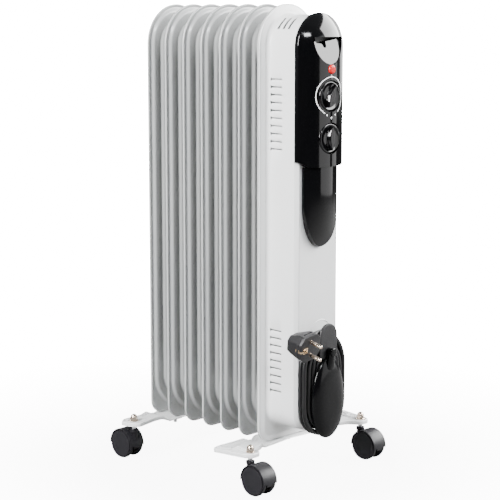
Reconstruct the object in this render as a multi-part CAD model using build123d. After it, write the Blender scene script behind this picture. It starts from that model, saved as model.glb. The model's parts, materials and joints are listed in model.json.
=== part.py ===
from build123d import *
import math
import os

# Oil filled radiator heater: seven hollow pressed steel sections on one stack, a control
# housing at the front end, a cord winder under it, two pressed feet and four casters.
# Millimetres, +Z up, floor at Z 0.  X runs across the sections, Y along the stack, and the
# controls face -Y.  Parts are drawn with the middle of the front section at Y 0 and are
# shifted along Y on export, so that the origin lies under the middle of the heater.

# ---- driving dimensions -------------------------------------------------------------
SECTIONS = 7
PITCH = 35.0
FIN_W = 110.0
FIN_BOTTOM = 45.0
FIN_TOP = 625.0
FIN_CORNER = 20.0
FIN_WALL = 0.8
RIM_HALF = 1.6
RIM_WIDTH = 3.0
WEB_HALF = 0.8
STEP1_HALF = 4.0
STEP2_HALF = 7.0
BOSS_HALF = 10.0
STEP1_FOOT = 4.5
STEP1_TOP = 10.0
STEP2_FOOT = 20.5
STEP2_TOP = 25.0
PANEL_HALF_W = 20.0
PANEL_SLOPE = 4.0
PANEL_LOW = 165.0
PANEL_HIGH = 535.0

HUB_LOW = 97.0
HUB_HIGH = FIN_TOP - FIN_W / 2
HUB_R = 22.0
HUB_BORE = 19.5
BOSS_FOOT_R = 33.0
BOSS_TOP_R = 26.0

ARC_Z = HUB_HIGH
HOUSING_HALF = 41.0
HOUSING_BOTTOM = 66.0
HOUSING_CORNER = 27.0
HOUSING_FRONT = -56.5
HOUSING_WALL = 1.2
FLANGE_LIP_BACK = -1.9
FLANGE_SHEET = 1.2
FLANGE_DISH = 2.5
FLANGE_DISH_FOOT = 3.0
FLANGE_DISH_TOP = 8.5
FLANGE_FILLET = 5.0

PANEL_HALF = 43.5
PANEL_BACK = -52.5
PANEL_EDGE = -60.0
PANEL_FRONT = -78.0
PANEL_WALL = 2.2
PANEL_STEP_Z = 424.6
TONGUE_HALF = 32.5
TONGUE_TOP = 417.0
TONGUE_BOTTOM = 311.0
TONGUE_FRONT = -75.0

GRIP_Z = 583.0
GRIP_HALF = 27.0
GRIP_DROP = 35.0
LAMP_Z = 542.0
THERMOSTAT_Z = 508.0
SWITCH_Z = 454.0
WELL_FLOOR = -70.0
KNOB_R = 19.6
SHAFT_R = 3.0
RUNNING_GAP = 0.05

WINDER_Z = 127.0
WINDER_HALF_RUN = 26.0
CORD_D = 6.4
CORE_R = 20.0
TURN_R = [23.5, 30.9, 38.3]
TURN_SHIFT = [0.0, -0.9, -1.8]
COIL_BACK = -60.0
COIL_FRONT = -73.4
BACKPLATE_FRONT = -59.7

FOOT_TOP_MID = 44.7
FOOT_TOP_END = 53.5
FOOT_SHEET = 1.5
FOOT_TIP_X = 131.0
CASTER_FRONT_X = 110.5
CASTER_FRONT_Y = -40.5
CASTER_REAR_X = 116.5
CASTER_REAR_Y = 178.5
FRONT_CLAMP_Y = 17.5
REAR_CLAMP_Y = 192.5
WHEEL_R = 20.0
WHEEL_W = 7.5
WHEEL_GAP = 11.0
HOOD_R = 21.5
TRAIL = 15.0
AXLE_R = 2.5
STEM_R = 3.0

SCREW_R = 1.8
SCREW_HEAD_R = 3.6
COVER_SCREW_GRIP = 7.0
WINDER_SCREW_GRIP = 9.0
PANEL_SCREWS = [(-24.0, 422.0), (24.0, 422.0)]
TONGUE_SCREWS = [(-20.0, 390.0), (20.0, 390.0), (0.0, 340.0)]
WINDER_SCREWS = [(-8.0, 100.0), (8.0, 100.0), (8.0, 152.0)]
CABLE_X = -12.0
CABLE_Z = 152.0
CABLE_HOLE_R = 4.6

WINDOW_HALF = 35.5
WINDOW_LOW = 432.0
WINDOW_MID = 587.0
WINDOW_TOP_HALF = 27.5
WINDOW_TOP = 597.0
HOUSING_CHAMFER = 3.0

PANEL_TAB = 7.0
LAMP_R = 6.0
GRIP_LIP = -77.0
GRIP_LIP_Z = 548.5
GRIP_BACK = -50.0
GRIP_BACK_Z = 578.0
WELL_R = 20.3
KNOB_FACE = -76.4
KNOB_GRIP = 5.0
GRIP_HALF_W = 6.0
GRIP_ARC_R = 25.0
THERMOSTAT_TURN = 25.0
SHAFT_END = -54.0
TONGUE_EDGE = -60.5
TONGUE_ROUND_Z = 369.0

TAB_HALF = 17.0
TAB_LOW = 165.0
TAB_HIGH = 211.0
CORE_WALL = 2.6
WINDER_LIP_BACK = -73.8
TAB_FRONT = -77.0
EGG_HALF = 31.0
EGG_Z = 105.0
EGG_LOW = 57.0
EGG_HIGH = 167.0
EGG_CUT_Z = 163.8
EGG_RIM = -76.0
EGG_FRONT = -84.0
HEAD_R = 5.5
HEAD_Z = 174.0
HEAD_FRONT = -86.5
GROMMET_FRONT = -68.5
GROMMET_LOW = 146.0
GROMMET_HIGH = 156.0
GROMMET_END = -55.0

PLUG_HALF = 18.3
PLUG_RIM = 11.0
PLUG_DEPTH = 27.0
OUTLET_X = 11.0
OUTLET_Y = 22.0
RELIEF_END = 28.0
PIN_R = 2.4
PIN_SPREAD = 9.5
PIN_LENGTH = 19.0
PIN_ROOT = 8.0
EARTH_X = -10.0
EARTH_R = 2.4
CLIP_END = 15.5

FOOT_LIP_MID = 43.0
FOOT_LIP_END = 48.0
RAMP_FOOT_X = 56.5
RAMP_TOP_X = 71.0
FOOT_REACH = 140.0
CLAMP_ROD_R = 2.5
CLAMP_X = HUB_R + 0.3 + CLAMP_ROD_R
SOCKET_R = 4.8
COLLAR_R = 5.8
COLLAR_LOW = 38.5
STEM_LOW = 24.0
SHOULDER_R = 4.5
HOOD_TOP = 42.5
NUT_TOP = 63.5

REAR_Y = (SECTIONS - 1) * PITCH
FRONT_REACH = 86.5
REAR_REACH = 225.0
EXPORT_SHIFT = Pos(0, (FRONT_REACH - REAR_REACH) / 2, 0)

os.makedirs("parts", exist_ok=True)


def save(name, *solids):
    """Write one node: one solid, or a group of separate solids."""
    moved = [EXPORT_SHIFT * s for s in solids]
    shape = moved[0] if len(moved) == 1 else Compound(children=moved)
    export_step(shape, f"parts/{name}.step")


# ---- small helpers ------------------------------------------------------------------
def upright(half, bottom, arc_z, corner):
    """Flat outline in X and Z: full round top, straight sides, two rounded low corners."""
    sides = Pos(0, (bottom + arc_z) / 2) * Rectangle(2 * half, arc_z - bottom)
    low = sides.vertices().sort_by(Axis.Y)[:2]
    return fillet(low, corner) + Pos(0, arc_z) * Circle(half)


def slab(outline, front, back):
    """Solid between two Y planes from an outline drawn in X and Z."""
    return extrude(Plane.XZ.offset(-back) * outline, back - front)


def frustum(outline_a, y_a, outline_b, y_b):
    """Solid that runs from one outline at one Y plane to another outline at another."""
    low = Plane.XZ.offset(-y_a) * outline_a
    high = Plane.XZ.offset(-y_b) * outline_b
    return loft([low.face(), high.face()], ruled=True)


def disc(radius, x, z, front, back):
    """Round solid along Y."""
    return slab(Pos(x, z) * Circle(radius), front, back)


def box(x0, x1, y0, y1, z0, z1):
    """Box from its low and high corners."""
    middle = Pos((x0 + x1) / 2, (y0 + y1) / 2, (z0 + z1) / 2)
    return middle * Box(x1 - x0, y1 - y0, z1 - z0)


def rod_x(radius, x0, x1, y, z):
    """Round solid along X."""
    return Pos((x0 + x1) / 2, y, z) * Rot(0, 90, 0) * Cylinder(radius, x1 - x0)


def rod_z(radius, z0, z1, x=0.0, y=0.0):
    """Round solid along Z."""
    return Pos(x, y, (z0 + z1) / 2) * Cylinder(radius, z1 - z0)


def stadium(radius, x, z, half_run):
    """Upright stadium outline in X and Z."""
    bar = Rectangle(2 * radius, 2 * half_run)
    ends = Pos(0, half_run) * Circle(radius) + Pos(0, -half_run) * Circle(radius)
    return Pos(x, z) * (bar + ends)


# ---- radiator sections --------------------------------------------------------------
def section_outline(inset, corner=None):
    """Section outline, moved in from the rim by an inset."""
    half = FIN_W / 2 - inset
    radius = max(FIN_CORNER - inset, 2.0) if corner is None else corner
    return upright(half, FIN_BOTTOM + inset, ARC_Z, radius)


def channel_outline(inset):
    """Oil channel outline: the same, with a full round bottom."""
    half = FIN_W / 2 - inset
    return section_outline(inset, half - 1.0)


def centre_outline(half):
    """Flat centre panel between the hubs, with round ends."""
    run = (PANEL_HIGH - PANEL_LOW) / 2 - PANEL_HALF_W
    return stadium(half, 0, (PANEL_HIGH + PANEL_LOW) / 2, run)


def pressed_side(skin):
    """One pressed sheet's bulge on the +Y side; skin moves every face inwards."""
    shape = frustum(
        channel_outline(STEP1_FOOT + skin), 0, channel_outline(STEP1_FOOT + skin), WEB_HALF - skin * 0.5
    )
    shape += frustum(
        channel_outline(STEP1_FOOT + skin),
        WEB_HALF - skin * 0.5,
        channel_outline(STEP1_TOP + skin),
        STEP1_HALF - skin,
    )
    shape += frustum(
        channel_outline(STEP2_FOOT + skin), 0, channel_outline(STEP2_FOOT + skin), STEP1_HALF - skin
    )
    shape += frustum(
        channel_outline(STEP2_FOOT + skin),
        STEP1_HALF - skin,
        channel_outline(STEP2_TOP + skin),
        STEP2_HALF - skin,
    )
    floor = WEB_HALF + 0.2
    bottom = floor if skin == 0 else 0.0
    sunk = centre_outline(PANEL_HALF_W - PANEL_SLOPE + skin)
    shape -= frustum(sunk, bottom, centre_outline(PANEL_HALF_W + skin), STEP2_HALF)
    for z in (HUB_LOW, HUB_HIGH):
        boss = frustum(
            Pos(0, z) * Circle(BOSS_FOOT_R - skin),
            STEP1_HALF - skin,
            Pos(0, z) * Circle(BOSS_TOP_R - skin),
            BOSS_HALF - skin,
        )
        shape += boss
    return shape


def make_section():
    """Hollow welded section: rolled rim, flat web, stepped oil channel and two bosses."""
    web = slab(section_outline(RIM_WIDTH / 2), -WEB_HALF, WEB_HALF)
    rim = slab(section_outline(0), -RIM_HALF, RIM_HALF) - slab(
        section_outline(RIM_WIDTH), -RIM_HALF, RIM_HALF
    )
    half = pressed_side(0)
    hollow = pressed_side(FIN_WALL)
    solid = web + rim + half + mirror(half, Plane.XZ)
    solid -= hollow + mirror(hollow, Plane.XZ)
    for z in (HUB_LOW, HUB_HIGH):
        solid -= disc(HUB_BORE, 0, z, -BOSS_HALF, BOSS_HALF)
    return solid


section = make_section()
for number in range(1, SECTIONS + 1):
    save(f"fin_{number}", Pos(0, (SECTIONS - number) * PITCH, 0) * section)


def make_hub_rings():
    """Collars welded between the bosses of neighbouring sections."""
    ring = disc(HUB_R, 0, 0, BOSS_HALF, PITCH - BOSS_HALF) - disc(
        HUB_BORE, 0, 0, BOSS_HALF, PITCH - BOSS_HALF
    )
    places = [(i * PITCH, z) for i in range(SECTIONS - 1) for z in (HUB_LOW, HUB_HIGH)]
    return [Pos(0, y, z) * ring for y, z in places]


save("hub_rings", *make_hub_rings())


def make_rear_caps():
    """Dished caps that close the two hubs behind the last section."""
    start = REAR_Y + BOSS_HALF
    cap = disc(HUB_R, 0, 0, start, start + 2.0)
    cap += frustum(Pos(0, 0) * Circle(HUB_R), start + 2.0, Pos(0, 0) * Circle(12.0), start + 5.0)
    return [Pos(0, 0, z) * cap for z in (HUB_LOW, HUB_HIGH)]


save("rear_hub_caps", *make_rear_caps())


# ---- heating element and oil filler -------------------------------------------------
ELEMENT_R = 4.0
ELEMENT_SPREAD = 9.0
ELEMENT_END = REAR_Y - 15.0
PLUG_FACE = -BOSS_HALF


def make_heating_element():
    """Tubular hairpin element on a steel flange, in the low hubs."""
    flange = disc(HUB_R, 0, HUB_LOW, PLUG_FACE - 4.0, PLUG_FACE)
    plug = disc(HUB_BORE - 0.3, 0, HUB_LOW, PLUG_FACE, PLUG_FACE + 6.0)
    start = PLUG_FACE + 2.0
    path = FilletPolyline(
        (-ELEMENT_SPREAD, start, HUB_LOW),
        (-ELEMENT_SPREAD, ELEMENT_END, HUB_LOW),
        (ELEMENT_SPREAD, ELEMENT_END, HUB_LOW),
        (ELEMENT_SPREAD, start, HUB_LOW),
        radius=ELEMENT_SPREAD - 0.5,
    )
    hairpin = sweep(Plane(origin=path @ 0, z_dir=path % 0) * Circle(ELEMENT_R), path)
    solid = flange + plug + hairpin
    for x in (-ELEMENT_SPREAD, ELEMENT_SPREAD):
        solid += disc(1.6, x, HUB_LOW, PLUG_FACE - 14.0, PLUG_FACE - 3.0)
    return solid


save("heating_element", make_heating_element())


def make_filler_plug():
    """Hexagon plug that seals the oil filling hole in the front top hub."""
    cap = disc(HUB_R, 0, HUB_HIGH, PLUG_FACE - 2.0, PLUG_FACE)
    spigot = disc(HUB_BORE - 0.3, 0, HUB_HIGH, PLUG_FACE, PLUG_FACE + 4.0)
    hexagon = slab(Pos(0, HUB_HIGH) * RegularPolygon(9.0, 6), PLUG_FACE - 9.0, PLUG_FACE - 1.0)
    return cap + spigot + hexagon


save("oil_filler_plug", make_filler_plug())
CUTOUT_Z = 350.0


def make_thermal_cutout():
    """Bimetal disc cut-out pressed against the front section, with two tabs."""
    clip = box(-13, 13, -2.6, -1.3, CUTOUT_Z - 8, CUTOUT_Z + 8)
    body = disc(7.5, 0, CUTOUT_Z, -12.5, -2.6)
    tabs = [box(x - 3, x + 3, -20, -12.5, CUTOUT_Z - 0.4, CUTOUT_Z + 0.4) for x in (-3.8, 3.8)]
    return clip + body + tabs


save("thermal_cutout", make_thermal_cutout())


# ---- control housing ----------------------------------------------------------------
VENT_Y = (-30.0, -10.0)
UPPER_VENTS = [439.0 + 10.0 * i for i in range(10)]
LOWER_VENTS = [118.0 + 10.2 * i for i in range(9)]
VENT_H = 2.6
TOP_SLOTS_Y = (-8.0, -16.0, -24.0)


def housing_outline(inset):
    """Housing outline in X and Z."""
    return upright(
        HOUSING_HALF - inset, HOUSING_BOTTOM + inset, ARC_Z, HOUSING_CORNER - inset
    )


def make_flare(start):
    """Concave sweep of the sheet from the flange into the side walls."""
    steps = 4
    rings = []
    for i in range(steps):
        low, high = (math.pi / 2 * k / steps for k in (i, i + 1))
        inset_low, inset_high = (FLANGE_FILLET * (math.sin(t) - 1) for t in (low, high))
        y_low, y_high = (start - FLANGE_FILLET * (1 - math.cos(t)) for t in (low, high))
        rings.append(frustum(housing_outline(inset_high), y_high, housing_outline(inset_low), y_low))
    return rings[0] + rings[1:]


def make_flange(back):
    """Solid under the dished flange, from its lip to the flat next to the box."""
    lip = slab(section_outline(0), back - FLANGE_SHEET, back)
    foot = section_outline(FLANGE_DISH_FOOT)
    top = section_outline(FLANGE_DISH_TOP)
    return lip + frustum(top, back - FLANGE_SHEET - FLANGE_DISH, foot, back - FLANGE_SHEET)


def make_control_housing():
    """Pressed cover: flange the shape of a section, deep box, vents and openings."""
    box_start = FLANGE_LIP_BACK - FLANGE_SHEET - FLANGE_DISH
    shell = slab(housing_outline(0), HOUSING_FRONT, box_start)
    shell = chamfer(shell.faces().sort_by(Axis.Y)[0].edges(), HOUSING_CHAMFER)
    cover = make_flange(FLANGE_LIP_BACK) + shell + make_flare(box_start)
    under = frustum(
        section_outline(FLANGE_DISH_TOP), FLANGE_LIP_BACK - FLANGE_DISH,
        section_outline(FLANGE_DISH_FOOT), FLANGE_LIP_BACK,
    )
    inside = slab(housing_outline(HOUSING_WALL), HOUSING_FRONT + HOUSING_WALL, 0)
    inside = chamfer(inside.faces().sort_by(Axis.Y)[0].edges(), HOUSING_CHAMFER - 0.6)
    cover -= under + inside
    y0, y1 = VENT_Y
    reach = HOUSING_HALF + 9
    for z in UPPER_VENTS + LOWER_VENTS:
        cover -= box(-reach, reach, y0, y1, z - VENT_H / 2, z + VENT_H / 2)
    for y in TOP_SLOTS_Y:
        hoop = slab(Pos(0, ARC_Z) * (Circle(reach) - Circle(HOUSING_HALF - 4)), y - 1.3, y + 1.3)
        cover -= hoop & box(-22, 22, y - 2, y + 2, ARC_Z + 30, ARC_Z + 60)
    boss_foot = Pos(0, HUB_LOW) * Circle(BOSS_FOOT_R + 0.6)
    boss_top = Pos(0, HUB_LOW) * Circle(BOSS_TOP_R + 0.6)
    cover -= frustum(boss_top, -BOSS_HALF - 0.3, boss_foot, -STEP1_HALF - 0.3)
    through = (HOUSING_FRONT - 1, HOUSING_FRONT + 5)
    cover -= box(-WINDOW_HALF, WINDOW_HALF, *through, WINDOW_LOW, WINDOW_MID)
    cover -= box(-WINDOW_TOP_HALF, WINDOW_TOP_HALF, *through, WINDOW_MID, WINDOW_TOP)
    cover -= disc(CABLE_HOLE_R, CABLE_X, CABLE_Z, *through)
    for x, z in PANEL_SCREWS + TONGUE_SCREWS + WINDER_SCREWS:
        cover -= disc(SCREW_R + 0.3, x, z, *through)
    return cover


save("control_housing", make_control_housing())


def make_heat_shield():
    """Bent sheet behind the controls that keeps the heat of the sections off them."""
    plate = box(-34, 34, -30.8, -30.0, WINDOW_LOW, 560)
    legs = [box(x - 0.4, x + 0.4, -30.0, -10.5, WINDOW_LOW, 560) for x in (-33.6, 33.6)]
    return plate + legs


save("heat_shield", make_heat_shield())


# ---- control panel ------------------------------------------------------------------
def bulge_profile(half, edge, front, back):
    """Cross-section in X and Y: flat sides and a bowed front."""
    side = edge + 1.5
    with BuildLine() as line:
        ThreePointArc((-half + 1, edge), (0, front), (half - 1, edge))
        right = [(half - 1, edge), (half, side), (half, back)]
        left = [(-x, y) for x, y in reversed(right)]
        Polyline(*right, *left)
    return make_face(line.edges())


def panel_body(skin):
    """Upper panel without its openings, with every wall moved in by skin."""
    profile = bulge_profile(PANEL_HALF - skin, PANEL_EDGE + skin, PANEL_FRONT + skin, PANEL_BACK)
    low = PANEL_STEP_Z - (PANEL_TAB if skin == 0 else -skin)
    straight = extrude(Pos(0, 0, low) * profile, ARC_Z - low)
    right = profile & Pos(PANEL_HALF, 0) * Rectangle(2 * PANEL_HALF, 300)
    top = revolve(Pos(0, 0, ARC_Z) * right, Axis((0, 0, ARC_Z), (0, -1, 0)), 180)
    if top.bounding_box().max.Z < ARC_Z + 1:
        top = mirror(top, Plane.XY.offset(ARC_Z))
    return straight + top


def wedge_x(points, half):
    """Solid across X from an outline drawn in Y and Z."""
    return extrude(Plane.YZ.offset(-half) * make_face(Polyline(*points, close=True)), 2 * half)


def grip_pocket(grow):
    """Finger recess in the shape of half an ellipse, with a sloping floor."""
    below = Pos(0, GRIP_Z - 50 + grow / 2) * Rectangle(100, 100 + grow)
    face = Pos(0, GRIP_Z) * Ellipse(GRIP_HALF + grow, GRIP_DROP + grow) & below
    rise = (GRIP_BACK_Z - GRIP_LIP_Z) / (GRIP_BACK - GRIP_LIP)
    front = PANEL_FRONT - 20
    slope = [
        (front, GRIP_LIP_Z + (front - GRIP_LIP) * rise - 1.5 * grow),
        (GRIP_BACK + grow, GRIP_BACK_Z - 1.5 * grow),
        (GRIP_BACK + grow, GRIP_Z + grow),
        (front, GRIP_Z + grow),
    ]
    return slab(face, front, GRIP_BACK + grow) & wedge_x(slope, 60)


def make_control_panel():
    """Bowed moulding: finger recess, lamp hole and two round wells for the knobs."""
    outer = panel_body(0)
    for side in (-1, 1):
        corner = [(side * TONGUE_HALF, PANEL_STEP_Z - PANEL_TAB), (side * 60, PANEL_STEP_Z - PANEL_TAB),
                  (side * 60, PANEL_STEP_Z), (side * PANEL_HALF, PANEL_STEP_Z)]
        outer -= slab(make_face(Polyline(*corner, close=True)), -100, 0)
    panel = outer - panel_body(PANEL_WALL)
    behind = box(-50, 50, PANEL_BACK - 1, 0, GRIP_LIP_Z - 10, WINDOW_TOP)
    panel += grip_pocket(PANEL_WALL) & (outer + behind)
    for z in (THERMOSTAT_Z, SWITCH_Z):
        panel += disc(WELL_R + PANEL_WALL, 0, z, PANEL_FRONT - 5, WELL_FLOOR + PANEL_WALL) & outer
    panel -= grip_pocket(0)
    panel -= slab(housing_outline(-0.3), HOUSING_FRONT - 0.2, 0) - grip_pocket(PANEL_WALL)
    for z in (THERMOSTAT_Z, SWITCH_Z):
        panel -= disc(WELL_R, 0, z, PANEL_FRONT - 5, WELL_FLOOR)
        panel -= disc(SHAFT_R + 0.6, 0, z, PANEL_FRONT, WELL_FLOOR + 5)
    panel -= disc(LAMP_R + 0.2, 0, LAMP_Z, PANEL_FRONT - 5, PANEL_FRONT + 10)
    for x, z in PANEL_SCREWS:
        panel -= disc(SCREW_R + 0.1, x, z, HOUSING_FRONT - 9, 0)
    return panel


save("control_panel", make_control_panel())


def tongue_body(skin):
    """Lower cover without its hollow, with every wall moved in by skin."""
    half = TONGUE_HALF - skin
    back = HOUSING_FRONT - 0.2
    profile = bulge_profile(half, TONGUE_EDGE + skin, TONGUE_FRONT + skin, back)
    column = extrude(Pos(0, 0, TONGUE_BOTTOM) * profile, TONGUE_TOP - TONGUE_BOTTOM - skin)
    round_end = Pos(0, TONGUE_ROUND_Z) * Ellipse(half, TONGUE_ROUND_Z - TONGUE_BOTTOM - skin)
    straight_z = (TONGUE_ROUND_Z + TONGUE_TOP) / 2
    straight = Pos(0, straight_z) * Rectangle(2 * half, TONGUE_TOP - TONGUE_ROUND_Z)
    with BuildLine() as line:
        Spline(
            (TONGUE_EDGE + skin, TONGUE_BOTTOM + skin), (TONGUE_FRONT + skin, TONGUE_ROUND_Z + 10),
            tangents=[(-0.35, 0.3), (0, 1)], tangent_scalars=[1.0, 1.0],
        )
        Polyline(
            (TONGUE_FRONT + skin, TONGUE_ROUND_Z + 10),
            (TONGUE_FRONT + skin, TONGUE_TOP),
            (back, TONGUE_TOP),
            (back, TONGUE_BOTTOM + skin),
            (TONGUE_EDGE + skin, TONGUE_BOTTOM + skin),
        )
    fall = extrude(Plane.YZ.offset(-60) * make_face(line.edges()), 120)
    return column & slab(round_end + straight, -100, 0) & fall


def make_panel_tongue():
    """Long cover under the panel, with three screw bosses."""
    tongue = tongue_body(0) - tongue_body(PANEL_WALL)
    back = HOUSING_FRONT - 0.2
    for x, z in TONGUE_SCREWS:
        tongue += disc(4.0, x, z, TONGUE_FRONT, back) & tongue_body(0)
        tongue -= disc(SCREW_R + 0.1, x, z, back - 8, back + 1)
    return tongue


save("panel_tongue", make_panel_tongue())


# ---- lamp, thermostat and switch ----------------------------------------------------
def make_pilot_lamp():
    """Round red lens with a domed end and a collar behind the panel."""
    collar_front = PANEL_FRONT + 4.6
    collar_back = collar_front + 1.8
    lens = disc(LAMP_R, 0, LAMP_Z, PANEL_FRONT - 2.5, collar_back)
    lens = fillet(lens.faces().sort_by(Axis.Y)[0].edges(), 2.0)
    return lens + disc(LAMP_R + 0.7, 0, LAMP_Z, collar_front, collar_back)


save("pilot_lamp", make_pilot_lamp())


def make_lamp_holder():
    """Neon lamp holder behind the lens, with two tabs."""
    front = PANEL_FRONT + 6.6
    body = disc(LAMP_R + 0.5, 0, LAMP_Z - 1.0, front, front + 12)
    tabs = [box(x - 0.4, x + 0.4, front + 12, front + 19, LAMP_Z - 4, LAMP_Z + 2) for x in (-3, 3)]
    return body + tabs


save("lamp_holder", make_lamp_holder())


def shaft_section(radius):
    """Round shaft outline with one flat."""
    return Circle(radius) & Pos(0, -1.0) * Rectangle(4 * radius, 2 * radius + 2.0)


def make_shaft(z):
    """Control shaft: round in its bearing, flatted in the knob."""
    flat = slab(Pos(0, z) * shaft_section(SHAFT_R), KNOB_FACE - 2, WELL_FLOOR - 0.2)
    return flat + disc(SHAFT_R, 0, z, WELL_FLOOR - 0.2, SHAFT_END)


def make_knob(z, turn):
    """Round knob with a raised pointed grip, turned clockwise by an angle."""
    back = WELL_FLOOR - 0.6
    low = disc(KNOB_R, 0, 0, KNOB_FACE + 2.2, back)
    rim = frustum(Circle(KNOB_R - 2.2), KNOB_FACE, Circle(KNOB_R), KNOB_FACE + 2.2)
    arc_x = GRIP_ARC_R - GRIP_HALF_W
    lens = Pos(arc_x, 0) * Circle(GRIP_ARC_R) & Pos(-arc_x, 0) * Circle(GRIP_ARC_R)
    small = scale(lens, (0.62, 0.9, 1))
    grip = frustum(small, KNOB_FACE - KNOB_GRIP, lens, KNOB_FACE)
    knob = Rot(0, turn, 0) * (low + rim + grip)
    bore = slab(shaft_section(SHAFT_R), KNOB_FACE - 2, back + 1)
    return Pos(0, 0, z) * (knob - bore)


def make_control_body(z, half, depth):
    """Square case with a round bearing for the shaft and three tabs."""
    front = WELL_FLOOR + PANEL_WALL + 0.2
    case = box(-half, half, front, front + depth, z - half, z + half)
    case -= disc(SHAFT_R + RUNNING_GAP, 0, z, front - 1, SHAFT_END + 0.5)
    tabs = [box(x - 2.4, x + 2.4, front + depth, front + depth + 7, z - 8.4, z - 7.6) for x in (-9, 0, 9)]
    return case + tabs


save("thermostat_body", make_control_body(THERMOSTAT_Z, 17.0, 20.0))
save("thermostat_shaft", make_shaft(THERMOSTAT_Z))
save("thermostat_knob", make_knob(THERMOSTAT_Z, THERMOSTAT_TURN))
save("switch_body", make_control_body(SWITCH_Z, 14.0, 18.0))
save("switch_shaft", make_shaft(SWITCH_Z))
save("switch_knob", make_knob(SWITCH_Z, 0.0))

INNER_FRONT = HOUSING_FRONT + HOUSING_WALL


def make_terminal_block():
    """Three way terminal block on the inside of the housing front."""
    block = box(-15, 15, INNER_FRONT + 0.1, INNER_FRONT + 13, 240, 258)
    for x in (-10, 0, 10):
        block -= disc(2.2, x, 249, INNER_FRONT + 7, INNER_FRONT + 14)
    return block


save("terminal_block", make_terminal_block())


def make_tilt_switch():
    """Tip-over switch: case with a hanging arm."""
    case = box(-11, 11, INNER_FRONT + 0.1, INNER_FRONT + 12, 285, 309)
    arm = box(-2, 2, INNER_FRONT + 12, INNER_FRONT + 14, 279, 303)
    return case + arm


save("tilt_switch", make_tilt_switch())


def make_internal_lead():
    """Mains lead inside the housing, from the cord grommet up to the terminal block."""
    route = FilletPolyline(
        (CABLE_X, GROMMET_END + 0.1, CABLE_Z),
        (CABLE_X, GROMMET_END + 16, CABLE_Z),
        (CABLE_X, GROMMET_END + 16, 225),
        (CABLE_X + 8, INNER_FRONT + 6, 237.0),
        radius=9,
    )
    start = Plane(origin=route @ 0, z_dir=route % 0)
    return sweep(start * Circle(CORD_D / 2), route)


save("internal_lead", make_internal_lead())


def make_screws():
    """Screws that hold the covers and the winder, put in from inside the housing."""
    places = [(x, z, COVER_SCREW_GRIP) for x, z in PANEL_SCREWS + TONGUE_SCREWS]
    places += [(x, z, WINDER_SCREW_GRIP) for x, z in WINDER_SCREWS]
    screws = []
    for x, z, grip in places:
        head = disc(SCREW_HEAD_R, x, z, INNER_FRONT + 0.05, INNER_FRONT + 2.4)
        slot = box(x - 0.4, x + 0.4, INNER_FRONT + 1.4, INNER_FRONT + 3, z - 3, z + 3)
        shank = disc(SCREW_R, x, z, HOUSING_FRONT - grip + 0.6, INNER_FRONT + 0.1)
        screws.append(head - slot + shank)
    return screws


save("cover_screws", *make_screws())


# ---- cord winder --------------------------------------------------------------------
def make_winder_base():
    """Back plate, hollow oval core and upper tab of the cord winder."""
    plate = slab(stadium(30, 0, WINDER_Z, 30), BACKPLATE_FRONT, HOUSING_FRONT - 0.2)
    ring = stadium(CORE_R, 0, WINDER_Z, WINDER_HALF_RUN)
    ring -= stadium(CORE_R - CORE_WALL, 0, WINDER_Z, WINDER_HALF_RUN)
    core = slab(ring, WINDER_LIP_BACK, BACKPLATE_FRONT)
    tab_face = Pos(0, (TAB_LOW + TAB_HIGH) / 2) * Rectangle(2 * TAB_HALF, TAB_HIGH - TAB_LOW)
    tab_face = fillet(tab_face.vertices().sort_by(Axis.Y)[2:], TAB_HALF - 0.5)
    tab = slab(tab_face, WINDER_LIP_BACK - 3.2, WINDER_LIP_BACK)
    base = plate + core + tab
    for x, z in WINDER_SCREWS:
        base += disc(4.0, x, z, BACKPLATE_FRONT - 9, BACKPLATE_FRONT)
        base -= disc(SCREW_R + 0.1, x, z, BACKPLATE_FRONT - 8, HOUSING_FRONT)
    base -= disc(CABLE_HOLE_R, CABLE_X, CABLE_Z, BACKPLATE_FRONT - 1, HOUSING_FRONT)
    notch_z = (GROMMET_LOW - 28, GROMMET_HIGH + 0.2)
    base -= box(-CORE_R - 1, -CORE_R + 5, GROMMET_FRONT - 0.2, BACKPLATE_FRONT, *notch_z)
    return base


def egg(size):
    """Egg outline of the lower lip of the winder, scaled about its widest line."""
    low = Ellipse(EGG_HALF * size, (EGG_Z - EGG_LOW) * size) & Pos(0, -100) * Rectangle(200, 200)
    high = Ellipse(EGG_HALF * size, (EGG_HIGH - EGG_Z) * size) & Pos(0, 100) * Rectangle(200, 200)
    return Pos(0, EGG_Z) * (low + high)


def make_winder_front():
    """Domed egg-shaped lip with a neck and a round head that is fixed to the upper tab."""
    front = slab(egg(1.0) & Pos(0, 60) * Rectangle(200, 200), EGG_RIM, WINDER_LIP_BACK)
    steps = 4
    for i in range(steps):
        low, high = (math.pi / 2 * k / steps for k in (i, i + 1))
        y_low, y_high = (EGG_RIM + (EGG_FRONT - EGG_RIM) * math.sin(t) for t in (low, high))
        size_low, size_high = (0.25 + 0.75 * math.cos(t) for t in (low, high))
        front += frustum(egg(size_high), y_high, egg(size_low), y_low)
    front &= box(-60, 60, -120, 0, 0, EGG_CUT_Z)
    neck_back = TAB_FRONT - 0.2
    side_view = [(neck_back, 156), (EGG_FRONT + 1.5, 148), (HEAD_FRONT + 3.5, 174), (neck_back, 178)]
    neck = wedge_x(side_view, HEAD_R)
    head = disc(HEAD_R, 0, HEAD_Z, HEAD_FRONT, TAB_FRONT - 0.2)
    head = chamfer(head.faces().sort_by(Axis.Y)[0].edges(), 1.2)
    return front + neck + head


save("winder_base", make_winder_base())
save("winder_front", make_winder_front())


def make_grommet():
    """Elbow grommet: the lead enters from behind and the cord leaves downwards."""
    block = box(-CORE_R + 0.3, -7.5, GROMMET_FRONT, BACKPLATE_FRONT - 0.1, GROMMET_LOW, GROMMET_HIGH)
    return block + disc(CABLE_HOLE_R - 0.2, CABLE_X, CABLE_Z, BACKPLATE_FRONT - 0.2, GROMMET_END)


save("cord_grommet", make_grommet())


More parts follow.
